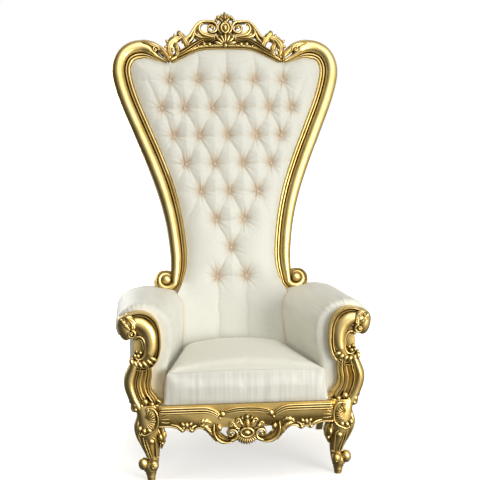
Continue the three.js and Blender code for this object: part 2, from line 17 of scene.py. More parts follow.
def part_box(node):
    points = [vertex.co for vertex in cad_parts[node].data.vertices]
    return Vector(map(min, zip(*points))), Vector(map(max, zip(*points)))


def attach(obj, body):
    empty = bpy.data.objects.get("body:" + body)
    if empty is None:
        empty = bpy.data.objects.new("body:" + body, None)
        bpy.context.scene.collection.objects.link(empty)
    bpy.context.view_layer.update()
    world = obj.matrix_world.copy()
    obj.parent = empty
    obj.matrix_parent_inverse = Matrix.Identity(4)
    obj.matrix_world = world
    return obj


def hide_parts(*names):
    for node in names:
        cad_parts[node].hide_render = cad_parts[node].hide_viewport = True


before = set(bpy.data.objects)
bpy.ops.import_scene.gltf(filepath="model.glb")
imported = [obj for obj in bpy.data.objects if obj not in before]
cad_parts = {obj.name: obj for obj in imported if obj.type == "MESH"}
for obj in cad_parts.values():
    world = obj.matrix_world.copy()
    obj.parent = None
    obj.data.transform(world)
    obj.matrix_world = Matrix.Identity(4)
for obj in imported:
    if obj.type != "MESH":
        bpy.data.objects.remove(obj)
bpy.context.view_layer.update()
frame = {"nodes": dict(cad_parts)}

log = logging.getLogger("throne")

Rows = Sequence[Sequence[float]]
Calls = Sequence[Tuple[Any, ...]]
Section = Callable[[float], np.ndarray]
Triple = Tuple[float, float, float]
Colour = Tuple[float, float, float, float]

MM = 0.001
RAKE = math.radians(14)
BACK_LINE_Y = -32.0
BACK_REAR = 38.0
FRONT_PLANE_Y = -360.0
APRON_FACE_Y = -400.0
SEAT_LINE = 305.4
RAIL_TOP = 304.6
BACK_RAIL_FRONT_Y = 44.0
SHIFT_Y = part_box("back_rail")[0][1] / MM - BACK_RAIL_FRONT_Y

SPAN = 8  # steps between two given points of a carved line
END_BENDS = np.radians([30, 58, 80])  # where the rings of a rounded end lie
END_REACH = 0.7  # how far a rounded end stands out, as a share of the half width
END_HEIGHT = 0.35  # height that is left at the tip of a rounded end
POLE = 0.12  # how near the rings of a lobe come to its poles, in radians
LEAF_POINTS = 23  # points across a leaf
LEAF_PHASE = 0.1  # where the first lobe of a leaf starts
LEAF_FULL_HALF = 10  # half width from which a leaf has its full height


class Slot(Enum):
    """Material slots of the record."""

    GILT = "gilt_frame"
    SATIN = "ivory_satin"
    BUTTON = "ivory_buttons"
    OUTSIDE = "outside_cloth"
    DECK = "deck_cloth"


class Plane(Enum):
    """Where a flat drawing of across, out and up is set."""

    BACK = "raked back"
    ARMS = "front of the arms and legs"
    APRON = "front of the apron"
    ROOM = "drawn in place: across, forwards and up"

    def place(self, drawn: np.ndarray) -> np.ndarray:
        """Sets drawn points in the room.

        Args:
            drawn: Points as across, out and up, in millimetres.

        Returns:
            The points as X, Y and Z, in metres.
        """
        across, out, up = drawn.T
        if self is Plane.BACK:
            deep = BACK_LINE_Y + up * math.sin(RAKE) - out * math.cos(RAKE)
            high = up * math.cos(RAKE) + out * math.sin(RAKE)
        else:
            face = {Plane.ARMS: FRONT_PLANE_Y, Plane.APRON: APRON_FACE_Y, Plane.ROOM: 0.0}[self]
            deep, high = face - out, up
        return np.column_stack([across, deep + SHIFT_Y, high]) * MM


@dataclass
class Shell:
    """A closed skin: points as across, out and up, in millimetres, and faces by point number."""

    points: np.ndarray
    faces: List[Tuple[int, ...]]

    def mirrored(self) -> "Shell":
        """The same skin on the other side of the middle line."""
        return Shell(self.points * [-1, 1, 1], [tuple(reversed(f)) for f in self.faces])

    def raised(self, out: float) -> "Shell":
        """The same skin moved out towards the front."""
        return Shell(self.points + [0, out, 0], self.faces)


def both_sides(shells: Sequence[Shell]) -> List[Shell]:
    """The skins and their mirror images."""
    return [twin for shell in shells for twin in (shell, shell.mirrored())]


def back_depth(up: Any, off: float) -> Any:
    """Depth of the raked back's middle line at a height, moved off it to the rear."""
    return BACK_LINE_Y + math.tan(RAKE) * up + off


def spline(rows: Rows, per_span: int = SPAN) -> np.ndarray:
    """Draws a smooth line through given points.

    Args:
        rows: Points with any number of columns.
        per_span: How many steps lie between two points.

    Returns:
        The line's points, one row each.
    """
    held = np.asarray(rows, float)
    padded = np.vstack([2 * held[0] - held[1], held, 2 * held[-1] - held[-2]])
    steps = np.linspace(0, 1, per_span, endpoint=False)[:, None]
    spans = []
    for a, b, c, d in zip(padded, padded[1:], padded[2:], padded[3:]):
        cubic = (3 * (b - c) + d - a) * steps**3 + (2 * a - 5 * b + 4 * c - d) * steps**2 + (c - a) * steps
        spans.append(b + 0.5 * cubic)
    return np.vstack([*spans, held[-1]])


def resample(line: np.ndarray, count: int) -> np.ndarray:
    """Spreads points evenly along a line.

    Args:
        line: Points along the line.
        count: How many points to return.

    Returns:
        The evenly spread points.
    """
    gone = np.concatenate([[0], np.cumsum(np.linalg.norm(np.diff(line, axis=0), axis=1))])
    wanted = np.linspace(0, gone[-1], count)
    return np.column_stack([np.interp(wanted, gone, column) for column in line.T])


def directions(line: np.ndarray) -> np.ndarray:
    """Unit directions along a flat line, whose first two columns are across and up."""
    along = np.gradient(line[:, :2], axis=0)
    return along / np.linalg.norm(along, axis=1)[:, None]


def smooth(low: float, high: float, value: np.ndarray) -> np.ndarray:
    """Eases from 0 at low to 1 at high."""
    share = np.clip((value - low) / (high - low), 0, 1)
    return share * share * (3 - 2 * share)


@dataclass(frozen=True)
class Curl:
    """A spiral stretch of a carved band; angles are in degrees, anticlockwise from the right."""

    across: float
    up: float
    radius: float
    inner_radius: float
    half: float
    inner_half: float
    start: float
    turn: float

    def rows(self, steps: int = 30) -> np.ndarray:
        """Draws the spiral's middle line.

        Args:
            steps: Number of points.

        Returns:
            Points as across, up and half width.
        """
        t = np.linspace(0, 1, steps)
        angle = np.radians(self.start + self.turn * t)
        radius = self.radius + (self.inner_radius - self.radius) * t
        half = self.half + (self.inner_half - self.half) * t
        return np.column_stack([self.across + radius * np.cos(angle), self.up + radius * np.sin(angle), half])


def loft(rings: Sequence[np.ndarray]) -> Shell:
    """Skins closed rings and closes both ends.

    Args:
        rings: Rings in order, all with the same number of points.

    Returns:
        The closed skin.
    """
    count = len(rings[0])
    faces: List[Tuple[int, ...]] = []
    for r in range(len(rings) - 1):
        for k in range(count):
            a, b = r * count + k, r * count + (k + 1) % count
            faces.append((a, b, b + count, a + count))
    last = (len(rings) - 1) * count
    faces.append(tuple(reversed(range(count))))
    faces.append(tuple(last + k for k in range(count)))
    return Shell(np.vstack(rings), faces)


def moulding(parts: Rows, reference: float, back: float, per_span: int = 3) -> Section:
    """Makes a section that keeps its shape while the band narrows.

    Args:
        parts: Points as share of the half width, from the right of the route to the left, and height out.
        reference: Half width at which the heights are full.
        back: Depth of the flat rear.
        per_span: Smoothing steps between two points; 1 keeps the corners.

    Returns:
        A function from half width to points of across and out.
    """
    shape = spline(parts, per_span) if per_span > 1 else np.asarray(parts, float)

    def section(half: float) -> np.ndarray:
        """The moulding's section at a half width."""
        face = shape * [half, min(1.0, half / reference)]
        return np.vstack([[-half, -back], face, [half, -back]])

    return section


def half_round(rise: float, back: float, facets: int = 12) -> Section:
    """Makes a plain half-round section that stands on a flat rear.

    Args:
        rise: Greatest height.
        back: Depth of the flat rear.
        facets: Points round the crown.

    Returns:
        A function from half width to points of across and out.
    """
    angles = np.linspace(np.pi, 0, facets)

    def section(half: float) -> np.ndarray:
        """The half round's section at a half width."""
        crown = np.column_stack([half * np.cos(angles), min(rise, 1.6 * half) * np.sin(angles)])
        return np.vstack([[-half, -back], crown, [half, -back]])

    return section


def sweep(route: np.ndarray, section: Section) -> Shell:
    """Runs a section along a flat route and rounds both ends over.

    Args:
        route: Middle line as across, up and half width.
        section: Function from half width to points of across and out.

    Returns:
        The closed skin.
    """
    along = directions(route)

    def ring(row: int, shift: float = 0.0, share: float = 1.0) -> np.ndarray:
        """Sets the section on the route.

        Args:
            row: Number of the route's point.
            shift: How far the ring is moved along the route.
            share: Width that is left of the section.

        Returns:
            The ring's points.
        """
        x, z, half = route[row]
        tx, tz = along[row]
        face = section(half) * [share, 1.0]
        lowered = face[:, 1] * (END_HEIGHT + (1 - END_HEIGHT) * share)
        out = np.where(face[:, 1] > 0, lowered, face[:, 1])
        return np.column_stack([x + tx * shift - tz * face[:, 0], out, z + tz * shift + tx * face[:, 0]])

    rings = [ring(row) for row in range(len(route))]
    head = [ring(0, -END_REACH * route[0, 2] * math.sin(a), math.cos(a)) for a in END_BENDS]
    tail = [ring(-1, END_REACH * route[-1, 2] * math.sin(a), math.cos(a)) for a in END_BENDS]
    return loft([*reversed(head), *rings, *tail])


def rib(rows: Rows, rise: float, back: float, out: float = 0.0) -> Shell:
    """A half-round rib along a line of across, up and half width, moved out."""
    return sweep(spline(rows), half_round(rise, back)).raised(out)


def lobe(across: float, up: float, width: float, length: float, rise: float, turn: float = 0.0,
         out: float = 0.0, taper: float = 0.0, sides: int = 20) -> Shell:
    """Carves a flattened ball or a drop.

    Args:
        across: Middle across.
        up: Middle height.
        width: Full width.
        length: Full length, upright before turning.
        rise: Half depth.
        turn: Lean to the right, in degrees.
        out: How far out the middle lies.
        taper: How much narrower the lower end is than the upper end, from 0 to 1.
        sides: Points round the girth.

    Returns:
        The closed skin.
    """
    girth = np.linspace(0, 2 * np.pi, sides, endpoint=False)
    rings = []
    for phi in np.linspace(POLE, np.pi - POLE, max(6, sides // 2)):
        wide = np.sin(phi) * (1 + 0.5 * taper * (-np.cos(phi) - 1) + 0.25 * taper)
        rings.append(np.column_stack([
            width / 2 * wide * np.cos(girth), rise * wide * np.sin(girth),
            np.full(sides, -length / 2 * np.cos(phi))]))
    shell = loft(rings)
    lean = math.radians(turn)
    x, y, z = shell.points.T
    turned = [across + x * math.cos(lean) + z * math.sin(lean), y + out,
              up - x * math.sin(lean) + z * math.cos(lean)]
    return Shell(np.column_stack(turned), shell.faces)


def pearl(across: float, up: float, radius: float, out: float = 0.0) -> Shell:
    """A round bead."""
    return lobe(across, up, 2 * radius, 2 * radius, radius, 0, out, 0, 16)


def leaf(rows: Rows, lobes: int, rise: float, back: float = 6.0, lift: float = 0.0, curl: float = 0.0,
         notch: float = 0.38) -> Shell:
    """Carves an acanthus leaf along a line.

    Args:
        rows: Middle vein as across, up and half width, from root to tip.
        lobes: Number of lobes on each edge.
        rise: Height of the rolled blade.
        back: Depth of the underside below the drawing plane.
        lift: Height of the drawing plane itself.
        curl: Extra height at the tip.
        notch: Depth of the cuts between the lobes, as a share of the half width.

    Returns:
        The closed skin.
    """
    route = spline(rows, 10)
    shares = np.linspace(-1, 1, LEAF_POINTS)
    roll = rise * (1 - 0.6 * shares**2)
    vein = 2.2 * np.exp(-((shares / 0.1) ** 2))
    rings = []
    for i, ((x, z, half), (tx, tz)) in enumerate(zip(route, directions(route))):
        t = i / (len(route) - 1)
        full = abs(math.cos(math.pi * (lobes * t + LEAF_PHASE)))
        edge = half * (1 - notch + notch * full**0.6)
        ribs = 1.9 * np.abs(shares) * np.cos(2 * math.pi * (lobes * t - 0.75 * np.abs(shares) + LEAF_PHASE))
        tall = min(1.0, half / LEAF_FULL_HALF)
        face = np.column_stack([shares * edge, lift + tall * (roll + ribs - vein) + curl * t**3])
        girth = np.vstack([[-0.9 * edge, -back], face, [0.9 * edge, -back]])
        rings.append(np.column_stack([x - tz * girth[:, 0], girth[:, 1], z + tx * girth[:, 0]]))
    return loft(rings)


def oval_ring(across: float, up: float, wide: float, tall: float, tube: float, out: float = 0.0) -> Shell:
    """Bends a round moulding into an oval.

    Args:
        across: Middle across.
        up: Middle height.
        wide: Half width of the moulding's middle line.
        tall: Half height of the moulding's middle line.
        tube: Radius of the moulding.
        out: How far out the middle lies.

    Returns:
        The closed skin.
    """
    girth = np.linspace(0, 2 * np.pi, 12, endpoint=False)
    reach, rise = tube * np.cos(girth), out + tube * np.sin(girth)
    turns = np.linspace(0, 2 * np.pi, 48, endpoint=False)
    points = [np.column_stack([
        across + (wide + reach) * math.cos(a), rise, up + (tall + reach) * math.sin(a)]) for a in turns]
    count, total = len(girth), len(turns)
    faces = [(r * count + k, r * count + (k + 1) % count, (r + 1) % total * count + (k + 1) % count,
              (r + 1) % total * count + k) for r in range(total) for k in range(count)]
    return Shell(np.vstack(points), faces)


def fan(across: float, up: float, near: float, far: float, angles: Sequence[float], width: float, rise: float,
        out: float = 0.0) -> List[Shell]:
    """Carves the ribs of a shell that spread from a point.

    Args:
        across: The point across.
        up: The point's height.
        near: Distance at which the ribs start.
        far: Distance at which they end.
        angles: Their directions in degrees, anticlockwise from the right.
        width: Full width of a rib.
        rise: Half depth of a rib.
        out: How far out the middles lie.

    Returns:
        One closed skin for each rib.
    """
    ribs = []
    middle = (near + far) / 2
    for degrees in angles:
        a = math.radians(degrees)
        ribs.append(lobe(across + middle * math.cos(a), up + middle * math.sin(a), width, far - near, rise,
                         90 - degrees, out, 0.7, 14))
    return ribs


def volute(curl: Curl, rise: float, back: float, eye: float, eye_out: float, out: float = 0.0,
           lead: Optional[Rows] = None) -> List[Shell]:
    """Carves a half-round band that ends in a spiral round a boss.

    Args:
        curl: The spiral.
        rise: Greatest height of the band.
        back: Depth of its flat rear.
        eye: Radius of the boss.
        eye_out: How far out the boss lies.
        out: How far all of it is moved out.
        lead: The stretch before the spiral, if there is one.

    Returns:
        The closed skins of the band and the boss.
    """
    rows = curl.rows()
    route = rows if lead is None else np.vstack([spline(lead), rows])
    band = sweep(route, half_round(rise, back))
    boss = lobe(curl.across, curl.up, 2 * eye, 2 * eye, eye, 0, eye_out)
    return [band.raised(out), boss.raised(out)]


@dataclass(frozen=True)
class Carving:
    """Small ornaments of one piece; each row holds what the function that carves it takes."""

    ribs: Calls = ()
    leaves: Calls = ()
    volutes: Calls = ()
    fans: Calls = ()
    lobes: Rows = ()
    pearls: Rows = ()
    rings: Rows = ()

    def shells(self) -> List[Shell]:
        """Carves every row.

        Returns:
            The closed skins.
        """
        single = ((rib, self.ribs), (leaf, self.leaves), (lobe, self.lobes), (pearl, self.pearls),
                  (oval_ring, self.rings))
        several = ((volute, self.volutes), (fan, self.fans))
        found = [carver(*row) for carver, rows in single for row in rows]
        return found + [shell for carver, rows in several for row in rows for shell in carver(*row)]


class Signal:
    """A number that varies over a surface; arithmetic on it adds Math nodes."""

    def __init__(self, graph: "Graph", socket: Any) -> None:
        """Wraps a socket of a graph."""
        self.graph = graph
        self.socket = socket

    def _math(self, operation: str, left: Any, right: Any, clamp: bool = False) -> "Signal":
        """Adds one Math node."""
        settings = {"operation": operation, "use_clamp": clamp}
        return self.graph.node("ShaderNodeMath", settings, {0: left, 1: right})

    def __add__(self, other: Any) -> "Signal":
        """Adds."""
        return self._math("ADD", self, other)

    def __radd__(self, other: Any) -> "Signal":
        """Adds to a plain number."""
        return self._math("ADD", other, self)

    def __sub__(self, other: Any) -> "Signal":
        """Subtracts."""
        return self._math("SUBTRACT", self, other)

    def __rsub__(self, other: Any) -> "Signal":
        """Subtracts from a plain number."""
        return self._math("SUBTRACT", other, self)

    def __mul__(self, other: Any) -> "Signal":
        """Multiplies."""
        return self._math("MULTIPLY", self, other)

    def __rmul__(self, other: Any) -> "Signal":
        """Multiplies a plain number."""
        return self._math("MULTIPLY", other, self)

    def __pow__(self, other: Any) -> "Signal":
        """Raises to a power."""
        return self._math("POWER", self, other)

    def clamped(self) -> "Signal":
        """Keeps the number between 0 and 1."""
        return self._math("ADD", self, 0.0, True)


class Graph:
    """A node tree, to which every node is added by one method."""

    def __init__(self, tree: bpy.types.NodeTree) -> None:
        """Holds the tree."""
        self.tree = tree

    def node(self, kind: str, settings: Dict[str, Any], inputs: Dict[Any, Any], output: Any = 0) -> Signal:
        """Adds a node.

        Args:
            kind: Type name of the node.
            settings: Properties that are set first.
            inputs: Values or signals by input name or number.
            output: Name or number of the output that is wanted.

        Returns:
            The output as a signal.
        """
        made = self.tree.nodes.new(kind)
        for name, value in settings.items():
            setattr(made, name, value)
        for name, value in inputs.items():
            self.feed(made.inputs[name], value)
        return Signal(self, made.outputs[output])

    def feed(self, socket: Any, value: Any) -> None:
        """Links a signal to a socket, or sets the socket's own value.

        Args:
            socket: Input of a node.
            value: Signal, number, colour or vector.
        """
        if isinstance(value, Signal):
            self.tree.links.new(value.socket, socket)
        else:
            socket.default_value = value


class Paint(Graph):
    """The node tree of one material, round its principled shader."""

    def __init__(self, name: str) -> None:
        """Starts a material.

        Args:
            name: Name of the material.
        """
        self.material = bpy.data.materials.new(name)
        self.material.use_nodes = True
        super().__init__(self.material.node_tree)
        self.shader = self.tree.nodes["Principled BSDF"]

    def mix(self, share: Signal, low: Any, high: Any) -> Signal:
        """Mixes two colours."""
        return self.node("ShaderNodeMix", {"data_type": "RGBA"}, {0: share, 6: low, 7: high}, 2)

    def place(self) -> Signal:
        """The object's own coordinates."""
        return self.node("ShaderNodeTexCoord", {}, {}, "Object")

    def stretched(self, scale: Triple) -> Signal:
        """The object's own coordinates, scaled by axis."""
        return self.node("ShaderNodeMapping", {}, {"Vector": self.place(), "Scale": scale})

    def noise(self, vector: Signal, scale: float, detail: float = 3.0) -> Signal:
        """Cloudy noise from 0 to 1."""
        inputs = {"Vector": vector, "Scale": scale, "Detail": detail}
        return self.node("ShaderNodeTexNoise", {}, inputs, "Fac")

    def recess(self) -> Signal:
        """How much painted shade a point takes, from 0 to 1, as stored from the recesses, tufts and seams of
        its piece.
        """
        return self.node("ShaderNodeAttribute", {"attribute_name": "recess"}, {}, "Fac")

    def bump(self, height: Signal, distance: float, strength: float) -> Signal:
        """Turns a height into a bumped normal."""
        return self.node("ShaderNodeBump", {}, {"Height": height, "Distance": distance, "Strength": strength})

    def finish(self, **sockets: Any) -> bpy.types.Material:
        """Feeds the shader.

        Args:
            sockets: Values or signals by socket name, with spaces written as underscores.

        Returns:
            The finished material.
        """
        for name, value in sockets.items():
            self.feed(self.shader.inputs[name.replace("_", " ")], value)
        return self.material


@dataclass(frozen=True)
class GoldLeaf:
    """Burnished gold leaf over carved wood, duller in the recesses, with painted shade that darkens the
    recesses and undersides.
    """

    bright: Colour = (0.87, 0.66, 0.275, 1)
    warm: Colour = (0.63, 0.43, 0.12, 1)
    # deep is the painted shade colour of the recesses and undersides.
    deep: Colour = (0.10, 0.066, 0.016, 1)
    roughness: float = 0.24
    cloud_scale: float = 14.0
    cloud_contrast: float = 1.6
    cloud_shift: float = 0.3
    cloud_dulling: float = 0.08
    cloud_height: float = 3.0
    grain_scale: float = 180.0
    grain_height: float = 0.4
    recess_gain: float = 1.35
    recess_power: float = 1.15
    recess_dulling: float = 0.2
    relief: float = 0.001
    relief_strength: float = 0.12

    @lru_cache(maxsize=None)
    def material(self) -> bpy.types.Material:
        """Makes the finish once.

        Returns:
            The material.
        """
        paint = Paint("gold_leaf")
        place = paint.place()
        clouds = paint.noise(place, self.cloud_scale)
        grain = paint.noise(place, self.grain_scale, 2.0)
        recess = (paint.recess() * self.recess_gain).clamped()
        patches = (clouds * self.cloud_contrast - self.cloud_shift).clamped()
        gold = paint.mix(patches, self.warm, self.bright)
        # Painted shade: the colour darkens towards deep by the stored recess, which is baked from occlusion
        # and from faces that look down.
        colour = paint.mix(recess ** self.recess_power, gold, self.deep)
        rough = self.roughness + clouds * self.cloud_dulling + recess * self.recess_dulling
        height = grain * self.grain_height + clouds * self.cloud_height
        bump = paint.bump(height, self.relief, self.relief_strength)
        return paint.finish(Base_Color=colour, Metallic=1.0, Roughness=rough, Normal=bump)


@dataclass(frozen=True)
class Satin:
    """Ivory satin with a soft sheen, a warm painted shade in the tufts, folds and seams, and darker painted
    sheen streaks below a height in metres.
    """

    name: str = "ivory_satin"
    ivory: Colour = (0.80, 0.795, 0.705, 1)
    shade_tint: Colour = (0.64, 0.47, 0.30, 1)
    roughness: float = 0.46
    streak: Triple = (60.0, 60.0, 6.0)
    contrast: float = 0.4
    smooth_above: float = 9.0
    smooth_edge: float = 50.0
    streak_scale: float = 6.0
    streak_gain: float = 3.0
    streak_shade: float = 0.7
    streak_height: float = 0.8
    streak_dulling: float = 0.12
    weave_scale: float = 700.0
    weave_height: float = 0.25
    cloud_scale: float = 9.0
    cloud_height: float = 1.2
    sheen: float = 0.12
    sheen_roughness: float = 0.4
    relief: float = 0.0012
    relief_strength: float = 0.3

    @lru_cache(maxsize=None)
    def material(self) -> bpy.types.Material:
        """Makes the finish once.

        Returns:
            The material.
        """
        paint = Paint(self.name)
        place = paint.place()
        cloth = paint.noise(paint.stretched(self.streak), self.streak_scale, 4.0)
        weave = paint.noise(place, self.weave_scale, 1.0)
        soft = paint.noise(place, self.cloud_scale, 2.0)
        # Painted shade: the colour turns towards the warm shade tint by the stored recess.
        colour = paint.mix(paint.recess().clamped(), self.ivory, self.shade_tint)
        height = paint.node("ShaderNodeSeparateXYZ", {}, {"Vector": place}, "Z")
        streaked = ((self.smooth_above - height) * self.smooth_edge).clamped()
        # Painted sheen: darker stretched streaks in the colour, which also feed the bump.
        streaks = (cloth * self.streak_gain - 1.0).clamped() * soft * streaked
        darker = (*(c * self.streak_shade for c in self.ivory[:3]), 1)
        shade = paint.mix(streaks * self.contrast, colour, darker)
        relief = streaks * self.streak_height + weave * self.weave_height + soft * self.cloud_height
        bump = paint.bump(relief, self.relief, self.relief_strength)
        rough = self.roughness + cloth * self.streak_dulling
        return paint.finish(Base_Color=shade, Roughness=rough, Normal=bump, Sheen_Weight=self.sheen,
                            Sheen_Roughness=self.sheen_roughness)


Finish = Union[GoldLeaf, Satin]

GOLD = GoldLeaf()
IVORY = Satin()
IVORY_SEAT = Satin(name="ivory_satin_seat", ivory=(0.78, 0.77, 0.68, 1), streak=(15.0, 1.0, 0.8),
                   contrast=1.0, smooth_above=0.442)
IVORY_ARM = Satin(name="ivory_satin_arm", streak=(7.0, 0.8, 7.0), contrast=0.4)
# Covered buttons: ivory satin darkened to tan, a painted shade of the dimple each sits in.
SHADED_BUTTON_CLOTH = Satin(name="button_satin_shaded", ivory=(0.70, 0.58, 0.45, 1), roughness=0.34)
PLAIN_CLOTH = Satin(name="outside_cloth", ivory=(0.75, 0.73, 0.65, 1), roughness=0.62)
LINING = Satin(name="deck_lining", ivory=(0.40, 0.36, 0.29, 1), roughness=0.75)


def carved_weight(share: float) -> float:
    """How much a carved surface closes a point in, by its distance as a share of the reach."""
    return 1 - 0.6 * share


def sewn_weight(share: float) -> float:
    """How much a neighbouring cushion closes a point in, by its distance as a share of the reach."""
    return (1 - share) ** 2


@dataclass(frozen=True)
class Probe:
    """Short rays from a surface that find how closed in a point is; sizes are in metres."""

    rays: Tuple[Triple, ...]
    lift: float
    reach: float
    weight: Callable[[float], float]

    @classmethod
    def carved(cls, count: int = 16, lowest: float = 0.88) -> "Probe":
        """Spreads rays over a half ball, for carved wood.

        Args:
            count: Number of rays.
            lowest: How far down the last ray leans, from 0 along the normal to 1 along the surface.

        Returns:
            The probe.
        """
        k = np.arange(count) + 0.5
        up = 1 - lowest * k / count
        turn = k * math.pi * (3 - math.sqrt(5))
        flat = np.sqrt(1 - up**2)
        rays = np.column_stack([flat * np.cos(turn), flat * np.sin(turn), up])
        return cls(tuple(map(tuple, rays)), lift=0.0005, reach=0.03, weight=carved_weight)

    @classmethod
    def sewn(cls, count: int = 6) -> "Probe":
        """Spreads rays in a cone, for soft pieces that lie against each other.

        Args:
            count: Number of rays.

        Returns:
            The probe.
        """
        turns = np.arange(count) * 2 * math.pi / count
        rays = tuple((0.8 * math.cos(a), 0.8 * math.sin(a), 0.6) for a in turns)
        return cls(rays, lift=0.002, reach=0.032, weight=sewn_weight)

    def shut(self, tree: BVHTree, vertex: bpy.types.MeshVertex) -> float:
        """Finds how closed in a point is.

        Args:
            tree: The surfaces round it.
            vertex: The point.

        Returns:
            0 in the open, up to 1 where every ray meets a surface at once.
        """
        normal = vertex.normal
        side = normal.orthogonal().normalized()
        other = normal.cross(side)
        origin = vertex.co + normal * self.lift
        found = 0.0
        for a, b, c in self.rays:
            distance = tree.ray_cast(origin, side * a + other * b + normal * c, self.reach)[3]
            if distance is not None:
                found += self.weight(distance / self.reach)
        return found / len(self.rays)


class Bench:
    """Makes finished objects out of skins and primitives."""

    CARVED_ANGLE = 42  # angle between carved faces up to which they are shaded smooth, in degrees
    # UNDERSIDE paints extra shade on carved faces that look down.
    UNDERSIDE = 0.12  # recess that a face gains by looking down
    # This weighs the painted shade where soft pieces meet.
    SEAM_SHADE_SHARE = 1.7  # weight of a seam between soft pieces

    @staticmethod
    def clear() -> None:
        """Leaves edit mode and deselects everything."""
        if bpy.context.object and bpy.context.object.mode != "OBJECT":
            bpy.ops.object.mode_set(mode="OBJECT")
        bpy.ops.object.select_all(action="DESELECT")

    @classmethod
    def hold(cls, piece: bpy.types.Object) -> None:
        """Selects one piece and makes it active.

        Args:
            piece: The object.
        """
        cls.clear()
        piece.select_set(True)
        bpy.context.view_layer.objects.active = piece

    @classmethod
    @contextmanager
    def editing(cls, piece: bpy.types.Object) -> Iterator[None]:
        """Opens a piece in edit mode with all of it selected, and closes it afterwards.

        Args:
            piece: The object.

        Yields:
            Nothing, while edit mode is on.
        """
        cls.hold(piece)
        bpy.ops.object.mode_set(mode="EDIT")
        bpy.ops.mesh.select_all(action="SELECT")
        yield
        bpy.ops.object.mode_set(mode="OBJECT")

    @classmethod
    def build(cls, name: str, shells: Sequence[Shell], plane: Plane) -> bpy.types.Object:
        """Joins skins into one mesh object with its faces outwards.

        Args:
            name: Name of the piece.
            shells: Closed skins, which may run into each other.
            plane: Where the drawing is set.

        Returns:
            The new object.
        """
        start, points, faces = 0, [], []
        for shell in shells:
            points.append(shell.points)
            faces.extend(tuple(start + k for k in face) for face in shell.faces)
            start += len(shell.points)
        mesh = bpy.data.meshes.new(name)
        mesh.from_pydata(plane.place(np.vstack(points)).tolist(), [], faces)
        mesh.update()
        piece = bpy.data.objects.new(name, mesh)
        bpy.context.collection.objects.link(piece)
        with cls.editing(piece):
            bpy.ops.mesh.normals_make_consistent(inside=False)
        return piece

    @classmethod
    def soften(cls, piece: bpy.types.Object, degrees: float) -> None:
        """Shades a piece smooth up to an angle between faces."""
        cls.hold(piece)
        bpy.ops.object.shade_smooth_by_angle(angle=math.radians(degrees))

    @classmethod
    def apply(cls, piece: bpy.types.Object, kind: str, **settings: Any) -> None:
        """Adds a modifier and applies it.

        Args:
            piece: The object.
            kind: Type name of the modifier.
            settings: Its properties.
        """
        cls.hold(piece)
        modifier = piece.modifiers.new(kind.lower(), kind)
        for key, value in settings.items():
            setattr(modifier, key, value)
        bpy.ops.object.modifier_apply(modifier=modifier.name)

    @staticmethod
    def points(piece: bpy.types.Object) -> np.ndarray:
        """Reads a mesh.

        Args:
            piece: The object.

        Returns:
            Its points, in metres.
        """
        flat = np.empty(len(piece.data.vertices) * 3)
        piece.data.vertices.foreach_get("co", flat)
        return flat.reshape(-1, 3)

    @staticmethod
    def tree(pieces: Sequence[bpy.types.Object]) -> BVHTree:
        """Makes the surfaces of some pieces ready for rays.

        Args:
            pieces: The objects.

        Returns:
            One search tree of them all.
        """
        corners, faces = [], []
        for piece in pieces:
            start = len(corners)
            corners += [v.co.copy() for v in piece.data.vertices]
            faces += [tuple(start + k for k in p.vertices) for p in piece.data.polygons]
        return BVHTree.FromPolygons(corners, faces)

    @staticmethod
    def mark(piece: bpy.types.Object, depth: Union[float, np.ndarray]) -> None:
        """Stores how much painted shade each point takes, mostly from how deep it lies between its
        neighbours.

        Args:
            piece: The object.
            depth: One value for all points, or one for each of the first points and none for the rest.
        """
        count = len(piece.data.vertices)
        values = np.full(count, depth) if np.isscalar(depth) else np.pad(depth, (0, count - len(depth)))
        layer = piece.data.attributes.new("recess", "FLOAT", "POINT")
        layer.data.foreach_set("value", values.astype(np.float32))

    @classmethod
    def mark_carving(cls, piece: bpy.types.Object) -> None:
        """Stores how closed in each point of a carved piece is, a little more so underneath, as the share of
        painted shade in its recesses and undersides.

        Args:
            piece: The object.
        """
        tree, probe = cls.tree([piece]), Probe.carved()
        cls.mark(piece, np.array([probe.shut(tree, vertex) + cls.UNDERSIDE * max(0.0, -vertex.normal.z)
                                  for vertex in piece.data.vertices]))

    @classmethod
    def shade_seams(cls, pieces: Sequence[bpy.types.Object], top: float) -> None:
        """Deepens the painted shade of soft pieces where they meet each other.

        Args:
            pieces: Soft pieces that lie against each other.
            top: Height above which no seam lies, in metres.
        """
        tree, probe = cls.tree(pieces), Probe.sewn()
        for piece in pieces:
            layer = piece.data.attributes["recess"]
            depth = np.zeros(len(piece.data.vertices), np.float32)
            layer.data.foreach_get("value", depth)
            for vertex in piece.data.vertices:
                if vertex.co.z <= top:
                    seam = cls.SEAM_SHADE_SHARE * probe.shut(tree, vertex)
                    depth[vertex.index] = min(1.0, depth[vertex.index] + seam)
            layer.data.foreach_set("value", depth)

    @classmethod
    def hand_over(cls, piece: bpy.types.Object, finish: Finish, slot: Slot, *nodes: str) -> None:
        """Paints a piece and ties it to the frame.

        Args:
            piece: The finished object.
            finish: What makes its material.
            slot: The record's material slot; not used.
            nodes: Solids that the piece stands for.
        """
        piece.data.materials.clear()
        piece.data.materials.append(finish.material())
        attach(piece, "root")
        if nodes:
            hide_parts(*nodes)
        log.info("%s: %d faces", piece.name, len(piece.data.polygons))

    @classmethod
    def dress(cls, piece: bpy.types.Object, degrees: float, depth: Union[float, np.ndarray], finish: Finish,
              slot: Slot, *nodes: str) -> None:
        """Softens a piece, stores its recesses and hands it over.

        Args:
            piece: The finished object.
            degrees: Angle between faces up to which it is shaded smooth.
            depth: Its recesses, as mark takes them.
            finish: What makes its material.
            slot: The record's material slot.
            nodes: Solids that the piece stands for.
        """
        cls.soften(piece, degrees)
        cls.mark(piece, depth)
        cls.hand_over(piece, finish, slot, *nodes)

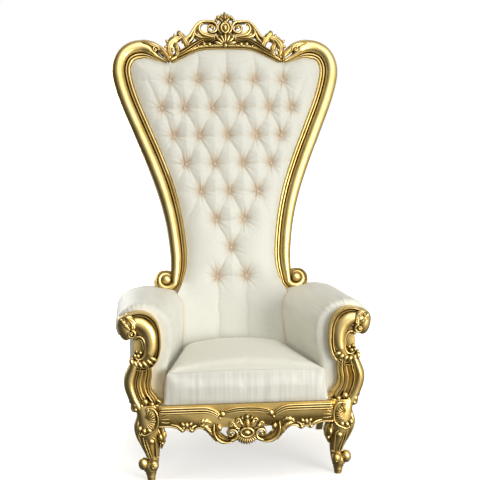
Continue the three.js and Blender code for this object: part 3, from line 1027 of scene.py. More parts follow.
    @classmethod
    def carve(cls, name: str, shells: Sequence[Shell], plane: Plane, *nodes: str) -> None:
        """Builds and softens one gilded piece, stores how much painted shade its recesses take, and hands it
        over.

        Args:
            name: Name of the piece.
            shells: Its closed skins.
            plane: Where the drawing is set.
            nodes: Solids that the piece stands for.
        """
        piece = cls.build(name, shells, plane)
        cls.soften(piece, cls.CARVED_ANGLE)
        cls.mark_carving(piece)
        cls.hand_over(piece, GOLD, Slot.GILT, *nodes)

    @classmethod
    def carve_pair(cls, name: str, shells: Sequence[Shell], plane: Plane) -> None:
        """Carves a right piece and its mirror image on the left."""
        cls.carve(f"gilt_{name}_right", shells, plane, f"{name}_right")
        cls.carve(f"gilt_{name}_left", [shell.mirrored() for shell in shells], plane, f"{name}_left")


@dataclass
class BackFrame:
    """The two stiles and the crest rail; lines are across, up and half width on the raked back."""

    stile: Rows = (
        (222, 762, 32), (221, 832, 34), (236, 960, 35), (266, 1088, 37), (311, 1217, 38), (363, 1345, 38),
        (415, 1475, 38), (441, 1565, 39), (444, 1620, 39), (427, 1664, 39), (395, 1688, 40),
        (356, 1694, 40), (323, 1681, 28), (299, 1664, 17), (278, 1653, 11), (258, 1643, 8),
    )
    torus_middle: float = -0.32
    torus_half: float = 0.68
    torus_rise: float = 25.0
    stile_beads: Rows = (
        (0.38, 2), (0.41, 6.5), (0.48, 10), (0.56, 10.5), (0.63, 7.5), (0.66, 3), (0.7, 6.5), (0.77, 9),
        (0.86, 9.5), (0.94, 7.5), (1, 3),
    )
    foot: Curl = Curl(275, 713, 47, 20, 24, 6, -165, 350)
    shoulder: Carving = Carving(
        ribs=(
            (((364, 1733, 3), (340, 1733, 4), (300, 1721, 4.5), (268, 1697, 4.5), (248, 1670, 4.5),
             (241, 1645, 4)), 27, 26),
        ),
        leaves=(
            (((362, 1722, 5), (350, 1720, 9), (314, 1711, 14), (278, 1691, 13), (255, 1667, 10),
             (247, 1645, 6)), 3, 15, 30, 14, 0, 0.15),
        ),
        volutes=((Curl(300, 1690, 14, 4, 5, 3, 190, -400), 9, 4, 5, 4, 24),),
        lobes=((275, 713, 44, 44, 18, 0, 4), (275, 713, 84, 80, 10, 0, -4)),
    )
    back: float = 25.0
    arch: Rows = (
        (-4, 1707, 11.5), (55, 1706, 11.5), (105, 1702, 11.5), (148, 1688, 12), (190, 1669, 13),
        (230, 1647, 12),
    )
    arch_profile: Rows = (
        (-1, 4), (-0.9, 9), (-0.7, 12), (-0.5, 9), (-0.42, 5), (-0.3, 9), (0.1, 14), (0.5, 14), (0.85, 9),
        (1, 3),
    )
    swag: Rows = (
        (8, 1714, 6), (35, 1724, 8), (65, 1735, 9), (95, 1735, 10), (122, 1721, 12), (150, 1703, 14),
        (180, 1684, 14), (210, 1666, 10),
    )
    swag_profile: Rows = (
        (-1, 4), (-0.86, 13), (-0.66, 17), (-0.46, 12), (-0.38, 8), (-0.22, 15), (0, 19), (0.22, 15),
        (0.38, 8), (0.46, 12), (0.66, 17), (0.86, 13), (1, 4),
    )
    swag_out: float = 3.0
    plates: Sequence[Rows] = (
        ((20, 1738, 16), (60, 1746, 17), (98, 1754, 24), (122, 1774, 20), (117, 1797, 14), (98, 1812, 8)),
        ((26, 1714, 9), (74, 1718, 12), (118, 1710, 8)),
        ((118, 1726, 9), (140, 1716, 9), (164, 1700, 9)),
    )
    plate_profile: Rows = ((-1, -2), (-0.92, 3), (0.92, 3), (1, -2))
    crest_side: Carving = Carving(
        ribs=(
            (((30, 1730, 4), (70, 1743, 6), (104, 1746, 7), (127, 1758, 7.5), (130, 1773, 6),
             (123, 1790, 4)), 15, 25),
            (((42, 1747, 4), (70, 1753, 6.5), (95, 1760, 8), (109, 1776, 8), (109, 1794, 7), (99, 1808, 5)),
             19, 25),
            (((162, 1704, 7), (156, 1724, 7), (140, 1744, 8), (134, 1764, 7)), 15, 25),
            (((196, 1744, 4), (214, 1736, 5), (227, 1720, 5), (232, 1698, 4)), 19, 10),
            (((16, 1764, 5), (27, 1778, 6), (27, 1798, 6), (17, 1812, 5)), 15, 25),
            (((3, 1806, 6), (11, 1820, 7), (20, 1829, 6)), 15, 16),
        ),
        leaves=(
            (((163, 1704, 9), (172, 1730, 14), (187, 1750, 15), (198, 1764, 10), (193, 1773, 5)), 2, 15, 25,
             2, 5, 0.12),
            (((186, 1746, 9), (213, 1738, 17), (232, 1722, 18), (240, 1700, 16), (236, 1676, 11),
             (224, 1656, 6)), 3, 15, 25, 2, 0, 0.15),
            (((212, 1664, 9), (204, 1684, 13), (208, 1704, 12), (216, 1718, 6)), 2, 14, 25, 4, 5, 0.12),
        ),
        volutes=(
            (Curl(57, 1788, 28, 8, 7.5, 4, 78, 470), 17, 25, 7, 14, 0,
             ((188, 1752, 6), (170, 1745, 7), (154, 1752, 7.5), (139, 1774, 7.5), (123, 1797, 7),
              (105, 1813, 7), (86, 1817, 6.5))),
            (Curl(206, 1668, 13, 4, 5.5, 3.5, -30, 420), 15, 25, 5, 14),
            (Curl(199, 1762, 9, 3, 5, 3, 200, -380), 14, 20, 4, 12),
            (Curl(35, 1745, 13, 4, 5.5, 3.5, -80, 420), 17, 25, 6, 16),
            (Curl(28, 1832, 9, 3, 5, 3.5, 190, -360), 13, 15, 5, 10),
        ),
        lobes=(
            (248, 1727, 14, 24, 12, 50, 4, 0.4), (253, 1704, 12, 22, 11, 80, 4, 0.4),
            (216, 1750, 14, 24, 12, 20, 4, 0.4), (160, 1716, 13, 34, 14, 24, 6, 0.4),
            (168, 1742, 14, 30, 12, 70, 4, 0.3), (37, 1820, 11, 20, 11, 30, 2, 0.3),
            (13, 1838, 9, 26, 11, 14, 4, -0.4),
        ),
        pearls=(
            (226, 1688, 7, 14), (238, 1660, 8, 8), (92, 1715, 8, 14), (68, 1714, 8, 14), (116, 1706, 6, 12),
            (46, 1711, 5, 12),
        ),
    )
    crest_middle: Carving = Carving(
        fans=((0, 1711, 8, 50, range(15, 166, 25), 16, 13, 14),),
        lobes=(
            (0, 1768, 72, 122, 12, 0, -6), (0, 1838, 18, 40, 15, 0, 4, -0.6), (0, 1832, 6, 44, 19, 0, 4),
            (0, 1786, 23, 30, 15, 0, 13), (0, 1812, 16, 14, 14, 0, 8), (0, 1735, 84, 58, 18, 0, 0),
            (0, 1764, 24, 12, 12, 0, 10),
        ),
        pearls=((0, 1709, 9, 16),),
        rings=((0, 1786, 16, 20, 5, 14),),
    )

    def stile_shells(self) -> List[Shell]:
        """Carves the right stile: a broad torus, a quirk and two beads, a foot curl and a shoulder leaf.

        Returns:
            The closed skins.
        """
        turns = np.linspace(0, math.pi, 19)
        torus = np.column_stack([
            self.torus_middle - self.torus_half * np.cos(turns), 1 + self.torus_rise * np.sin(turns)])
        section = moulding(np.vstack([torus, self.stile_beads]), reference=30, back=BACK_REAR, per_span=1)
        route = np.vstack([self.foot.rows(40)[::-1][:-1], spline(self.stile)])
        return [sweep(route, section), *self.shoulder.shells()]

    def crest_shells(self) -> List[Shell]:
        """Carves the crest: arched rail, swags, C-scrolls and ears round a shell, a jewel and a fleur.

        Returns:
            The closed skins.
        """
        plate = moulding(self.plate_profile, reference=8, back=self.back, per_span=1)
        swag = moulding(self.swag_profile, reference=13, back=self.back)
        side = [
            sweep(spline(self.arch, 10), moulding(self.arch_profile, reference=11, back=self.back)),
            sweep(spline(self.swag, 10), swag).raised(self.swag_out),
            *(sweep(spline(line), plate) for line in self.plates),
            *self.crest_side.shells(),
        ]
        return [*self.crest_middle.shells(), *both_sides(side)]

    def build(self) -> None:
        """Carves the stiles and the crest."""
        Bench.carve_pair("back_stile", self.stile_shells(), Plane.BACK)
        Bench.carve("gilt_crest_rail", self.crest_shells(), Plane.BACK, "crest_rail")


@dataclass(frozen=True)
class Tufts:
    """Folds and gathers round the buttons, and the painted shade above each button and along the creases:
    depths from 0 to 1, and sizes in millimetres.
    """

    diagonal: float = 0.85
    level: float = 0.65
    outward: float = 0.4
    slanted: float = 0.5
    upper: float = 1.0
    lower: float = 0.6
    upper_length: float = 160.0
    lower_length: float = 420.0
    outward_rows: int = 5
    stray: float = 2.2
    valley: float = 0.45
    valley_reach: float = 22.0
    slit: float = 1.8
    slit_half: float = 5.0
    gather: float = 1.7
    gather_reach: float = 15.0
    pucker: float = 2.2
    pucker_reach: float = 42.0
    pull_reach: float = 34.0
    tuft_shade: float = 0.85
    tuft_shade_half: Tuple[float, float] = (25.0, 29.0)
    tuft_shade_lift: float = 8.0
    crease_shade: float = 0.22
    crease_shade_reach: float = 70.0


@dataclass
class BackUpholstery:
    """The tufted pad, its buttons and the outside back, inside the stiles and under the crest."""

    frame: BackFrame
    tufts: Tufts = Tufts()
    clear: float = 1.0
    shoulder_point: int = 10
    low_half: float = 232.0
    low_line: Rows = ((215, 683), (204, 712), (196, 738))
    bottom: float = 325.0
    pad_rear: float = 19.0
    top_row: float = 1557.0
    row_step: float = 119.3
    pitch: float = 121.0
    counts: Tuple[int, ...] = (5, 6, 5, 4, 3, 2, 1, 2)
    edge_clear: float = 82.0
    button_radius: float = 7.0
    button_out: float = 3.0
    floor: float = 5.0
    edge_rise: float = 5.0
    crown: float = 34.0
    crown_reach: float = 32.0
    outside_clear: float = 1.5
    outside_crown: float = 5.0
    outside_reach: float = 40.0
    outside_rear: float = 20.5

    def beside(self, rows: Rows, side: int, inset: float) -> np.ndarray:
        """Draws one edge of a swept band, moved off it.

        Args:
            rows: The band's line as across, up and half width.
            side: 1 to the left of the route and -1 to the right.
            inset: How far the edge is moved.

        Returns:
            Points as across and up.
        """
        line = spline(rows)
        along = directions(line)
        off = side * (line[:, 2] + inset)
        return np.column_stack([line[:, 0] - along[:, 1] * off, line[:, 1] + along[:, 0] * off])

    def sides(self, inset: float) -> Tuple[np.ndarray, np.ndarray]:
        """Draws the right half of the outline.

        Args:
            inset: Gap to the frame.

        Returns:
            The right edge from the seat to the shoulder, and the top edge from there to the middle.
        """
        edge = self.beside(self.frame.stile, 1, inset)
        corner = SPAN * self.shoulder_point
        wide = self.low_half
        low = [(wide, self.bottom), (wide, 610), (wide - 2, 655), *np.subtract(self.low_line, [inset, 0])]
        arch = self.beside(self.frame.arch, -1, inset)[::-1]
        arch[-1, 0] = 0.0
        return np.vstack([low, edge[: corner + 1]]), np.vstack([edge[corner:], arch])

    def grid(self, inset: float, rows: int, columns: int) -> np.ndarray:
        """Fills the outline with a grid.

        Args:
            inset: Gap to the frame.
            rows: Steps from the bottom to the top.
            columns: Steps from left to right.

        Returns:
            An array of rows, columns and the two coordinates, across and up.
        """
        side, top = self.sides(inset)
        right = resample(side, rows + 1)
        left = right * [-1, 1]
        crown = resample(np.vstack([top * [-1, 1], top[::-1][1:]]), columns + 1)
        base = np.linspace(left[0], right[0], columns + 1)
        r = np.linspace(0, 1, rows + 1)[:, None, None]
        s = np.linspace(0, 1, columns + 1)[None, :, None]
        ends = (1 - s) * left[:, None] + s * right[:, None]
        spans = (1 - r) * base[None] + r * crown[None]
        corners = (1 - r) * ((1 - s) * base[0] + s * base[-1]) + r * ((1 - s) * crown[0] + s * crown[-1])
        return ends + spans - corners

    def buttons(self) -> np.ndarray:
        """Places the buttons in rows, the outer ones clear of the frame.

        Returns:
            Points as across and up.
        """
        edge = self.beside(self.frame.stile, 1, 0.0)[: SPAN * self.shoulder_point + 1]
        places = []
        for row, count in enumerate(self.counts):
            up = self.top_row - self.row_step * row
            limit = float(np.interp(up, edge[:, 1], edge[:, 0])) - self.edge_clear
            for i in range(count):
                across = (i - (count - 1) / 2) * self.pitch
                places.append((float(np.clip(across, -limit, limit)) if count > 2 else across, up))
        return np.array(places)

    def folds(self, buttons: np.ndarray) -> List[Tuple[np.ndarray, np.ndarray, float]]:
        """Draws the creases between the buttons and out to the frame.

        Args:
            buttons: Places of the buttons.

        Returns:
            Both end points and the depth, from 0 to 1, of each crease.
        """
        tufts, mirror = self.tufts, np.array([-1, 1])
        rows = [buttons[np.isclose(buttons[:, 1], self.top_row - self.row_step * k)]
                for k in range(len(self.counts))]
        found = []
        for upper, lower in zip(rows, rows[1:]):
            found += [(a, b, tufts.diagonal) for a in upper for b in lower
                      if abs(a[0] - b[0]) < 0.75 * self.pitch]
        for k, row in enumerate(rows):
            found += [(a, b, tufts.level) for a, b in zip(row, row[1:])]
            if k >= tufts.outward_rows:
                continue
            outer = row[np.argmax(row[:, 0])]
            tips = [(outer + [self.pitch, 0], tufts.outward)]
            for way in (-1, 1):
                near = rows[k + way] if 0 <= k + way < len(rows) else row[:0]
                if not np.any(near[:, 0] > outer[0]):
                    tips.append((outer + [0.5 * self.pitch, -way * self.row_step], tufts.slanted))
            for tip, deep in tips:
                found += [(outer, tip, deep), (outer * mirror, tip * mirror, deep)]
        found += [(b, b + [0, tufts.upper_length], tufts.upper) for b in rows[0]]
        found += [(b, b - [0, tufts.lower_length], tufts.lower) for b in rows[-1]]
        return found

    def tufted(self, flat: np.ndarray, edge: np.ndarray) -> Tuple[np.ndarray, np.ndarray]:
        """Works out the tufted face.

        Args:
            flat: Points as across and up.
            edge: Distance of each point to the outline.

        Returns:
            Height out and painted shade, from 0 to 1, of each point.
        """
        tufts, buttons = self.tufts, self.buttons()
        across, up = flat.T
        wander = np.column_stack([np.sin(up / 17 + across / 29), np.sin(across / 19 - up / 23)])
        loose = flat + tufts.stray * wander
        off = flat[:, None, :] - buttons[None]
        far = np.linalg.norm(off, axis=2)
        nearest = far.argmin(axis=1)
        reach = far[np.arange(len(flat)), nearest]
        beside, above = off[np.arange(len(flat)), nearest].T
        turn = np.arctan2(beside, above)
        valley, slit, gather = np.zeros((3, len(flat)))
        for number, (a, b, deep) in enumerate(self.folds(buttons)):
            way = b - a
            t = np.clip((loose - a) @ way / (way @ way), 0, 1)
            gap = np.linalg.norm(loose - a - t[:, None] * way, axis=1)
            gone = t * np.linalg.norm(way)
            valley = np.maximum(valley, deep * np.exp(-gap / tufts.valley_reach))
            slit = np.maximum(slit, deep * np.exp(-((gap / tufts.slit_half) ** 2)))
            wave = np.sin(gone / 2.1 + 1.7 * number) * np.sin(gone / 5.3 + number)
            gather += deep * wave * np.exp(-gap / tufts.gather_reach) * smooth(1, 7, gap)
        crown = self.edge_rise + self.crown * (1 - np.exp(-edge / self.crown_reach))
        pull = 1 - np.exp(-((reach / tufts.pull_reach) ** 1.3))
        cut = tufts.slit * slit * smooth(8, 26, reach) * smooth(4, 30, edge)
        pucker = np.sin(11 * turn + nearest) + 0.8 * np.sin(17 * turn + 2.3 * nearest)
        pucker *= smooth(6, 14, reach) * tufts.pucker * np.exp(-((reach / tufts.pucker_reach) ** 2))
        height = self.floor + (crown - self.floor) * pull * (1 - tufts.valley * valley) - cut + pucker
        height += tufts.gather * gather * smooth(10, 30, edge)
        # Painted shade: a warm blotch a little above each button, where the dimple faces down, and a faint
        # tint along the creases.
        wide, tall = tufts.tuft_shade_half
        tuft_shade = tufts.tuft_shade * np.exp(-((beside / wide) ** 2) - ((above - tufts.tuft_shade_lift) / tall) ** 2)
        recess = tuft_shade + tufts.crease_shade * slit * np.exp(-reach / tufts.crease_shade_reach)
        return height, np.clip(recess, 0, 1)

    def blanket(self, name: str, grid: np.ndarray, front: np.ndarray, rear: float) -> bpy.types.Object:
        """Builds a closed pad with a flat rear.

        Args:
            name: Name of the piece.
            grid: Its grid of across and up.
            front: Height out of each point of the grid.
            rear: Depth of the flat rear.

        Returns:
            The new object.
        """
        rows, columns = grid.shape[:2]
        face = np.column_stack([grid[..., 0].ravel(), front, grid[..., 1].ravel()])
        number = np.arange(rows * columns).reshape(rows, columns)
        faces = [(number[i, j], number[i, j + 1], number[i + 1, j + 1], number[i + 1, j])
                 for i in range(rows - 1) for j in range(columns - 1)]
        rim = [*number[0, :-1], *number[:-1, -1], *number[-1, :0:-1], *number[:0:-1, 0]]
        behind = face[rim] * [1, 0, 1] - [0, rear, 0]
        base = len(face)
        for k in range(len(rim)):
            after = (k + 1) % len(rim)
            faces.append((rim[after], rim[k], base + k, base + after))
        faces.append(tuple(base + k for k in range(len(rim))))
        return Bench.build(name, [Shell(np.vstack([face, behind]), faces)], Plane.BACK)

    def edge_distance(self, flat: np.ndarray) -> np.ndarray:
        """Measures how far points lie from the outline, apart from its lower edge.

        Args:
            flat: Points as across and up.

        Returns:
            The distance of each point.
        """
        side, top = self.sides(self.clear)
        half = np.vstack([side[4:], top])
        outline = resample(np.vstack([half, half[::-1] * [-1, 1]]), 700)
        return np.array([np.linalg.norm(outline - p, axis=1).min() for p in flat])

    def build_pad(self) -> None:
        """Makes the tufted pad."""
        grid = self.grid(self.clear, 380, 220)
        flat = grid.reshape(-1, 2)
        height, recess = self.tufted(flat, self.edge_distance(flat))
        pad = self.blanket("satin_back_pad", grid, height, self.pad_rear)
        Bench.dress(pad, 60, recess, IVORY, Slot.SATIN, "back_pad")

    def build_outside(self) -> None:
        """Makes the plain outside back, slightly crowned to the rear."""
        grid = self.grid(self.outside_clear, 60, 40)
        edge = self.edge_distance(grid.reshape(-1, 2))
        swell = self.outside_crown * (1 - np.exp(-edge / self.outside_reach))
        panel = self.blanket("cloth_outside_back", grid, -BACK_REAR - swell, self.outside_rear)
        Bench.dress(panel, 50, 0.0, PLAIN_CLOTH, Slot.OUTSIDE, "outside_back")

    def build_buttons(self) -> None:
        """Domes one covered button and copies it to every tuft."""
        Bench.clear()
        radius = self.button_radius * MM
        bpy.ops.mesh.primitive_uv_sphere_add(segments=24, ring_count=12, radius=radius)
        model = bpy.context.object
        with Bench.editing(model):
            bpy.ops.mesh.bisect(plane_co=(0, 0, -0.35 * radius), plane_no=(0, 0, 1), use_fill=True,
                                clear_inner=True)
            bpy.ops.mesh.select_all(action="SELECT")
            bpy.ops.transform.resize(value=(1, 1, 0.62))
        Bench.soften(model, 50)
        lean = Matrix.Rotation(math.pi / 2 - RAKE, 4, "X")
        for number, (across, up) in enumerate(self.buttons(), 1):
            copy = model.copy()
            copy.data = model.data.copy()
            copy.name = f"satin_button_{number:02d}"
            bpy.context.collection.objects.link(copy)
            spot = Plane.BACK.place(np.array([[across, self.floor + self.button_out, up]]))[0]
            copy.data.transform(Matrix.Translation(Vector(spot)) @ lean)
            # An even recess of 0.3 adds more painted shade to every button.
            Bench.mark(copy, 0.3)
            Bench.hand_over(copy, SHADED_BUTTON_CLOTH, Slot.BUTTON, f"button_{number:02d}")
        bpy.data.objects.remove(model)

    def build(self) -> None:
        """Makes the tufted pad, the outside back and the buttons."""
        self.build_pad()
        self.build_outside()
        self.build_buttons()


@dataclass
class Arms:
    """Carved arm fronts and rolled arm pads; sections are across and up."""

    depth: float = 23.0
    rim: Rows = (
        (452, 646, 8), (430, 657, 9), (404, 660, 9.5), (376, 652, 10), (353, 631, 10.5), (339, 598, 10.5),
        (335, 560, 10.5), (336, 522, 10.5), (343, 492, 10), (357, 467, 9.5), (377, 452, 9), (400, 446, 8.5),
        (424, 450, 8), (441, 461, 6),
    )
    rim_profile: Rows = (
        (-1, 4), (-0.9, 13), (-0.62, 19), (-0.3, 17), (-0.12, 10), (0, 9), (0.12, 12), (0.4, 16), (0.7, 14),
        (0.92, 8), (1, 3),
    )
    scroll: Rows = (
        (456, 622, 20), (430, 628, 25), (402, 622, 29), (378, 602, 29.5), (365, 572, 28), (362, 540, 26),
        (366, 512, 23), (377, 490, 18), (392, 476, 12),
    )
    scroll_profile: Rows = (
        (-1, 2), (-0.93, 10), (-0.72, 18), (-0.36, 24), (0, 26), (0.36, 25), (0.72, 20), (0.93, 11), (1, 2),
    )
    belly: Rows = ((404, 456, 42), (408, 430, 49), (416, 390, 52), (406, 345, 49), (386, 308, 53))
    flutes: Rows = (
        (-1, 4), (-0.95, 12), (-0.89, 15), (-0.84, 12), (-0.8, 16), (-0.7, 21), (-0.62, 19), (-0.58, 14),
        (-0.55, 19), (-0.5, 20), (-0.46, 17), (-0.36, 9), (-0.25, 6.5), (-0.12, 9), (-0.05, 16), (0.01, 19),
        (0.06, 16), (0.09, 12), (0.13, 18), (0.18, 19), (0.22, 14), (0.27, 16), (0.42, 23), (0.6, 25),
        (0.8, 20), (0.95, 9), (1, -4),
    )
    plates: Sequence[Rows] = (
        ((412, 566, 14), (408, 540, 21), (408, 515, 22), (408, 492, 22), (404, 474, 26)),
        ((352, 490, 14), (372, 470, 16), (398, 462, 16), (430, 468, 12)),
    )
    plate_profile: Rows = ((-1, -4), (-0.9, 2), (0.9, 2), (1, -4))
    gadroons: Rows = (
        (356, 487, 62), (370, 475, 50), (387, 467, 40), (405, 464, 32), (422, 467, 24), (436, 474, 16),
    )
    ornament: Carving = Carving(
        ribs=(
            (((428, 562, 5), (416, 573, 6), (399, 570, 6.5), (388, 552, 7), (384, 527, 7), (388, 502, 7),
             (398, 487, 6.5), (413, 484, 6), (424, 493, 5), (420, 503, 4)), 17, 23, 4),
            (((414, 560, 2.5), (403, 559, 3), (396, 545, 3.5), (393, 526, 3.5), (397, 508, 3)), 7, 23, 2),
            (((358, 352, 5), (350, 332, 7), (336, 318, 8), (320, 310, 6)), 17, 23),
            (((368, 348, 3), (362, 330, 4), (350, 316, 4), (336, 306, 4)), 20, 23),
            (((428, 660, 4), (452, 655, 6), (468, 640, 6), (472, 622, 4)), 22, 20),
            (((356, 308, 6), (332, 306, 6), (307, 306, 5)), 9, 23),
        ),
        leaves=(
            (((464, 654, 5), (447, 648, 12), (433, 632, 15), (430, 612, 12), (437, 598, 5)), 3, 13, 14, 16,
             6, 0.25),
            (((474, 644, 4), (464, 628, 9), (453, 614, 10), (443, 604, 5)), 3, 11, 14, 18, 4, 0.25),
        ),
        volutes=((Curl(438, 586, 17, 5, 6, 3.5, 100, 420), 13, 14, 6, 8, 22),),
        lobes=(
            (400, 604, 96, 88, 22, -20, -4), (458, 607, 58, 98, 29, 4, -2), (470, 612, 42, 76, 30, 6, -12),
            (424, 500, 13, 24, 12, 30, 8, 0.4), (434, 488, 12, 26, 12, 35, 4, 0.4),
            (418, 514, 10, 20, 10, 20, 4, 0.4), (388, 320, 24, 26, 13, 0, 16),
            (402, 304, 18, 20, 12, 0, 14), (426, 308, 34, 38, 17, 0, 8), (440, 326, 14, 30, 12, -30, 2),
            (344, 304, 24, 12, 12, 0, 16),
        ),
        pearls=((404, 511, 7, 8), (413, 499, 8, 10), (362, 310, 9, 18)),
    )
    front: Rows = (
        (303, 305.4), (301, 440), (284, 505), (277, 560), (288, 622), (328, 668), (388, 692), (440, 685),
        (480, 652), (495, 606), (485, 572), (456, 556), (438, 534), (437, 305.4),
    )
    rear: Rows = (
        (192, 305.4), (192, 440), (190, 505), (190, 560), (198, 612), (234, 648), (310, 660), (385, 660),
        (445, 640), (478, 600), (472, 568), (450, 552), (434, 532), (433, 305.4),
    )
    front_y: float = -336.0
    rear_gap: float = 1.0
    length: float = 470.0
    neck_from: int = 11
    neck_depth: float = 37.0
    neck_share: float = 0.36
    edge_round: float = 22.0
    gather_reach: float = 70.0

    def front_shells(self) -> List[Shell]:
        """Carves the right arm front: scroll, ram's horn, C-scroll, collar of gadroons and fluted belly.

        Returns:
            The closed skins.
        """
        plate = moulding(self.plate_profile, reference=10, back=self.depth, per_span=1)
        flutes = moulding(self.flutes, reference=40, back=self.depth, per_span=2)
        return [
            sweep(spline(self.scroll), moulding(self.scroll_profile, reference=22, back=self.depth)),
            sweep(spline(self.rim), moulding(self.rim_profile, reference=8, back=self.depth)),
            sweep(spline(self.belly, 14), flutes),
            *(sweep(spline(line), plate) for line in self.plates),
            *(lobe(across, up, width=21, length=36, rise=14, turn=turn, out=13, taper=0.35)
              for across, up, turn in self.gadroons),
            *self.ornament.shells(),
        ]

    def pad_rings(self) -> List[np.ndarray]:
        """Draws the right arm pad from its rounded, gathered front to the raked back.

        Returns:
            Rings of across, forwards and up.
        """
        front, rear = spline(self.front, 18), spline(self.rear, 18)
        girth = np.linspace(0, len(self.front) - 1, len(front))
        along = np.gradient(front, axis=0)
        outward = np.column_stack([-along[:, 1], along[:, 0]]) / np.linalg.norm(along, axis=1)[:, None]
        outward[:, 1] *= smooth(306, 330, front[:, 1])
        folds = 2.6 * np.sin(girth * 17 + 2 * np.sin(girth * 3.1)) * np.sin(girth * 4.3 + 1)
        folds = (folds + 1.5 * np.sin(girth * 9.7)) * smooth(3.5, 5, girth) * (1 - smooth(10, 11, girth))
        narrow = self.neck_depth * smooth(self.neck_from - 0.5, self.neck_from + 0.6, girth)
        rings = []
        for t in [*np.linspace(0, 0.06, 9), *np.linspace(0.075, 1, 44)]:
            gone = t * self.length
            ease = 0.6 * t + 0.4 * t * t
            neck = narrow * max(0.0, 1 - t / self.neck_share)
            across = front[:, 0] + (rear[:, 0] - front[:, 0]) * ease - neck
            up = front[:, 1] + (rear[:, 1] - front[:, 1]) * t
            rear_y = back_depth(up, (BACK_REAR - self.rear_gap) / math.cos(RAKE))
            deep = self.front_y + (rear_y - self.front_y) * t
            short = 1 - min(gone / self.edge_round, 1.0)
            tuck = self.edge_round * (1 - math.sqrt(max(0.0, 1 - short**2)))
            swell = (folds * math.exp(-gone / self.gather_reach) - tuck)[:, None] * outward
            rings.append(np.column_stack([across + swell[:, 0], -deep, up + swell[:, 1]]))
        return rings

    def build(self) -> None:
        """Carves the arm fronts and pads the arms."""
        Bench.carve_pair("arm_front", self.front_shells(), Plane.ARMS)
        pad = loft(self.pad_rings())
        for side, shell in (("right", pad), ("left", pad.mirrored())):
            piece = Bench.build(f"satin_arm_pad_{side}", [shell], Plane.ROOM)
            Bench.dress(piece, 55, 0.0, IVORY_ARM, Slot.SATIN, f"arm_pad_{side}")


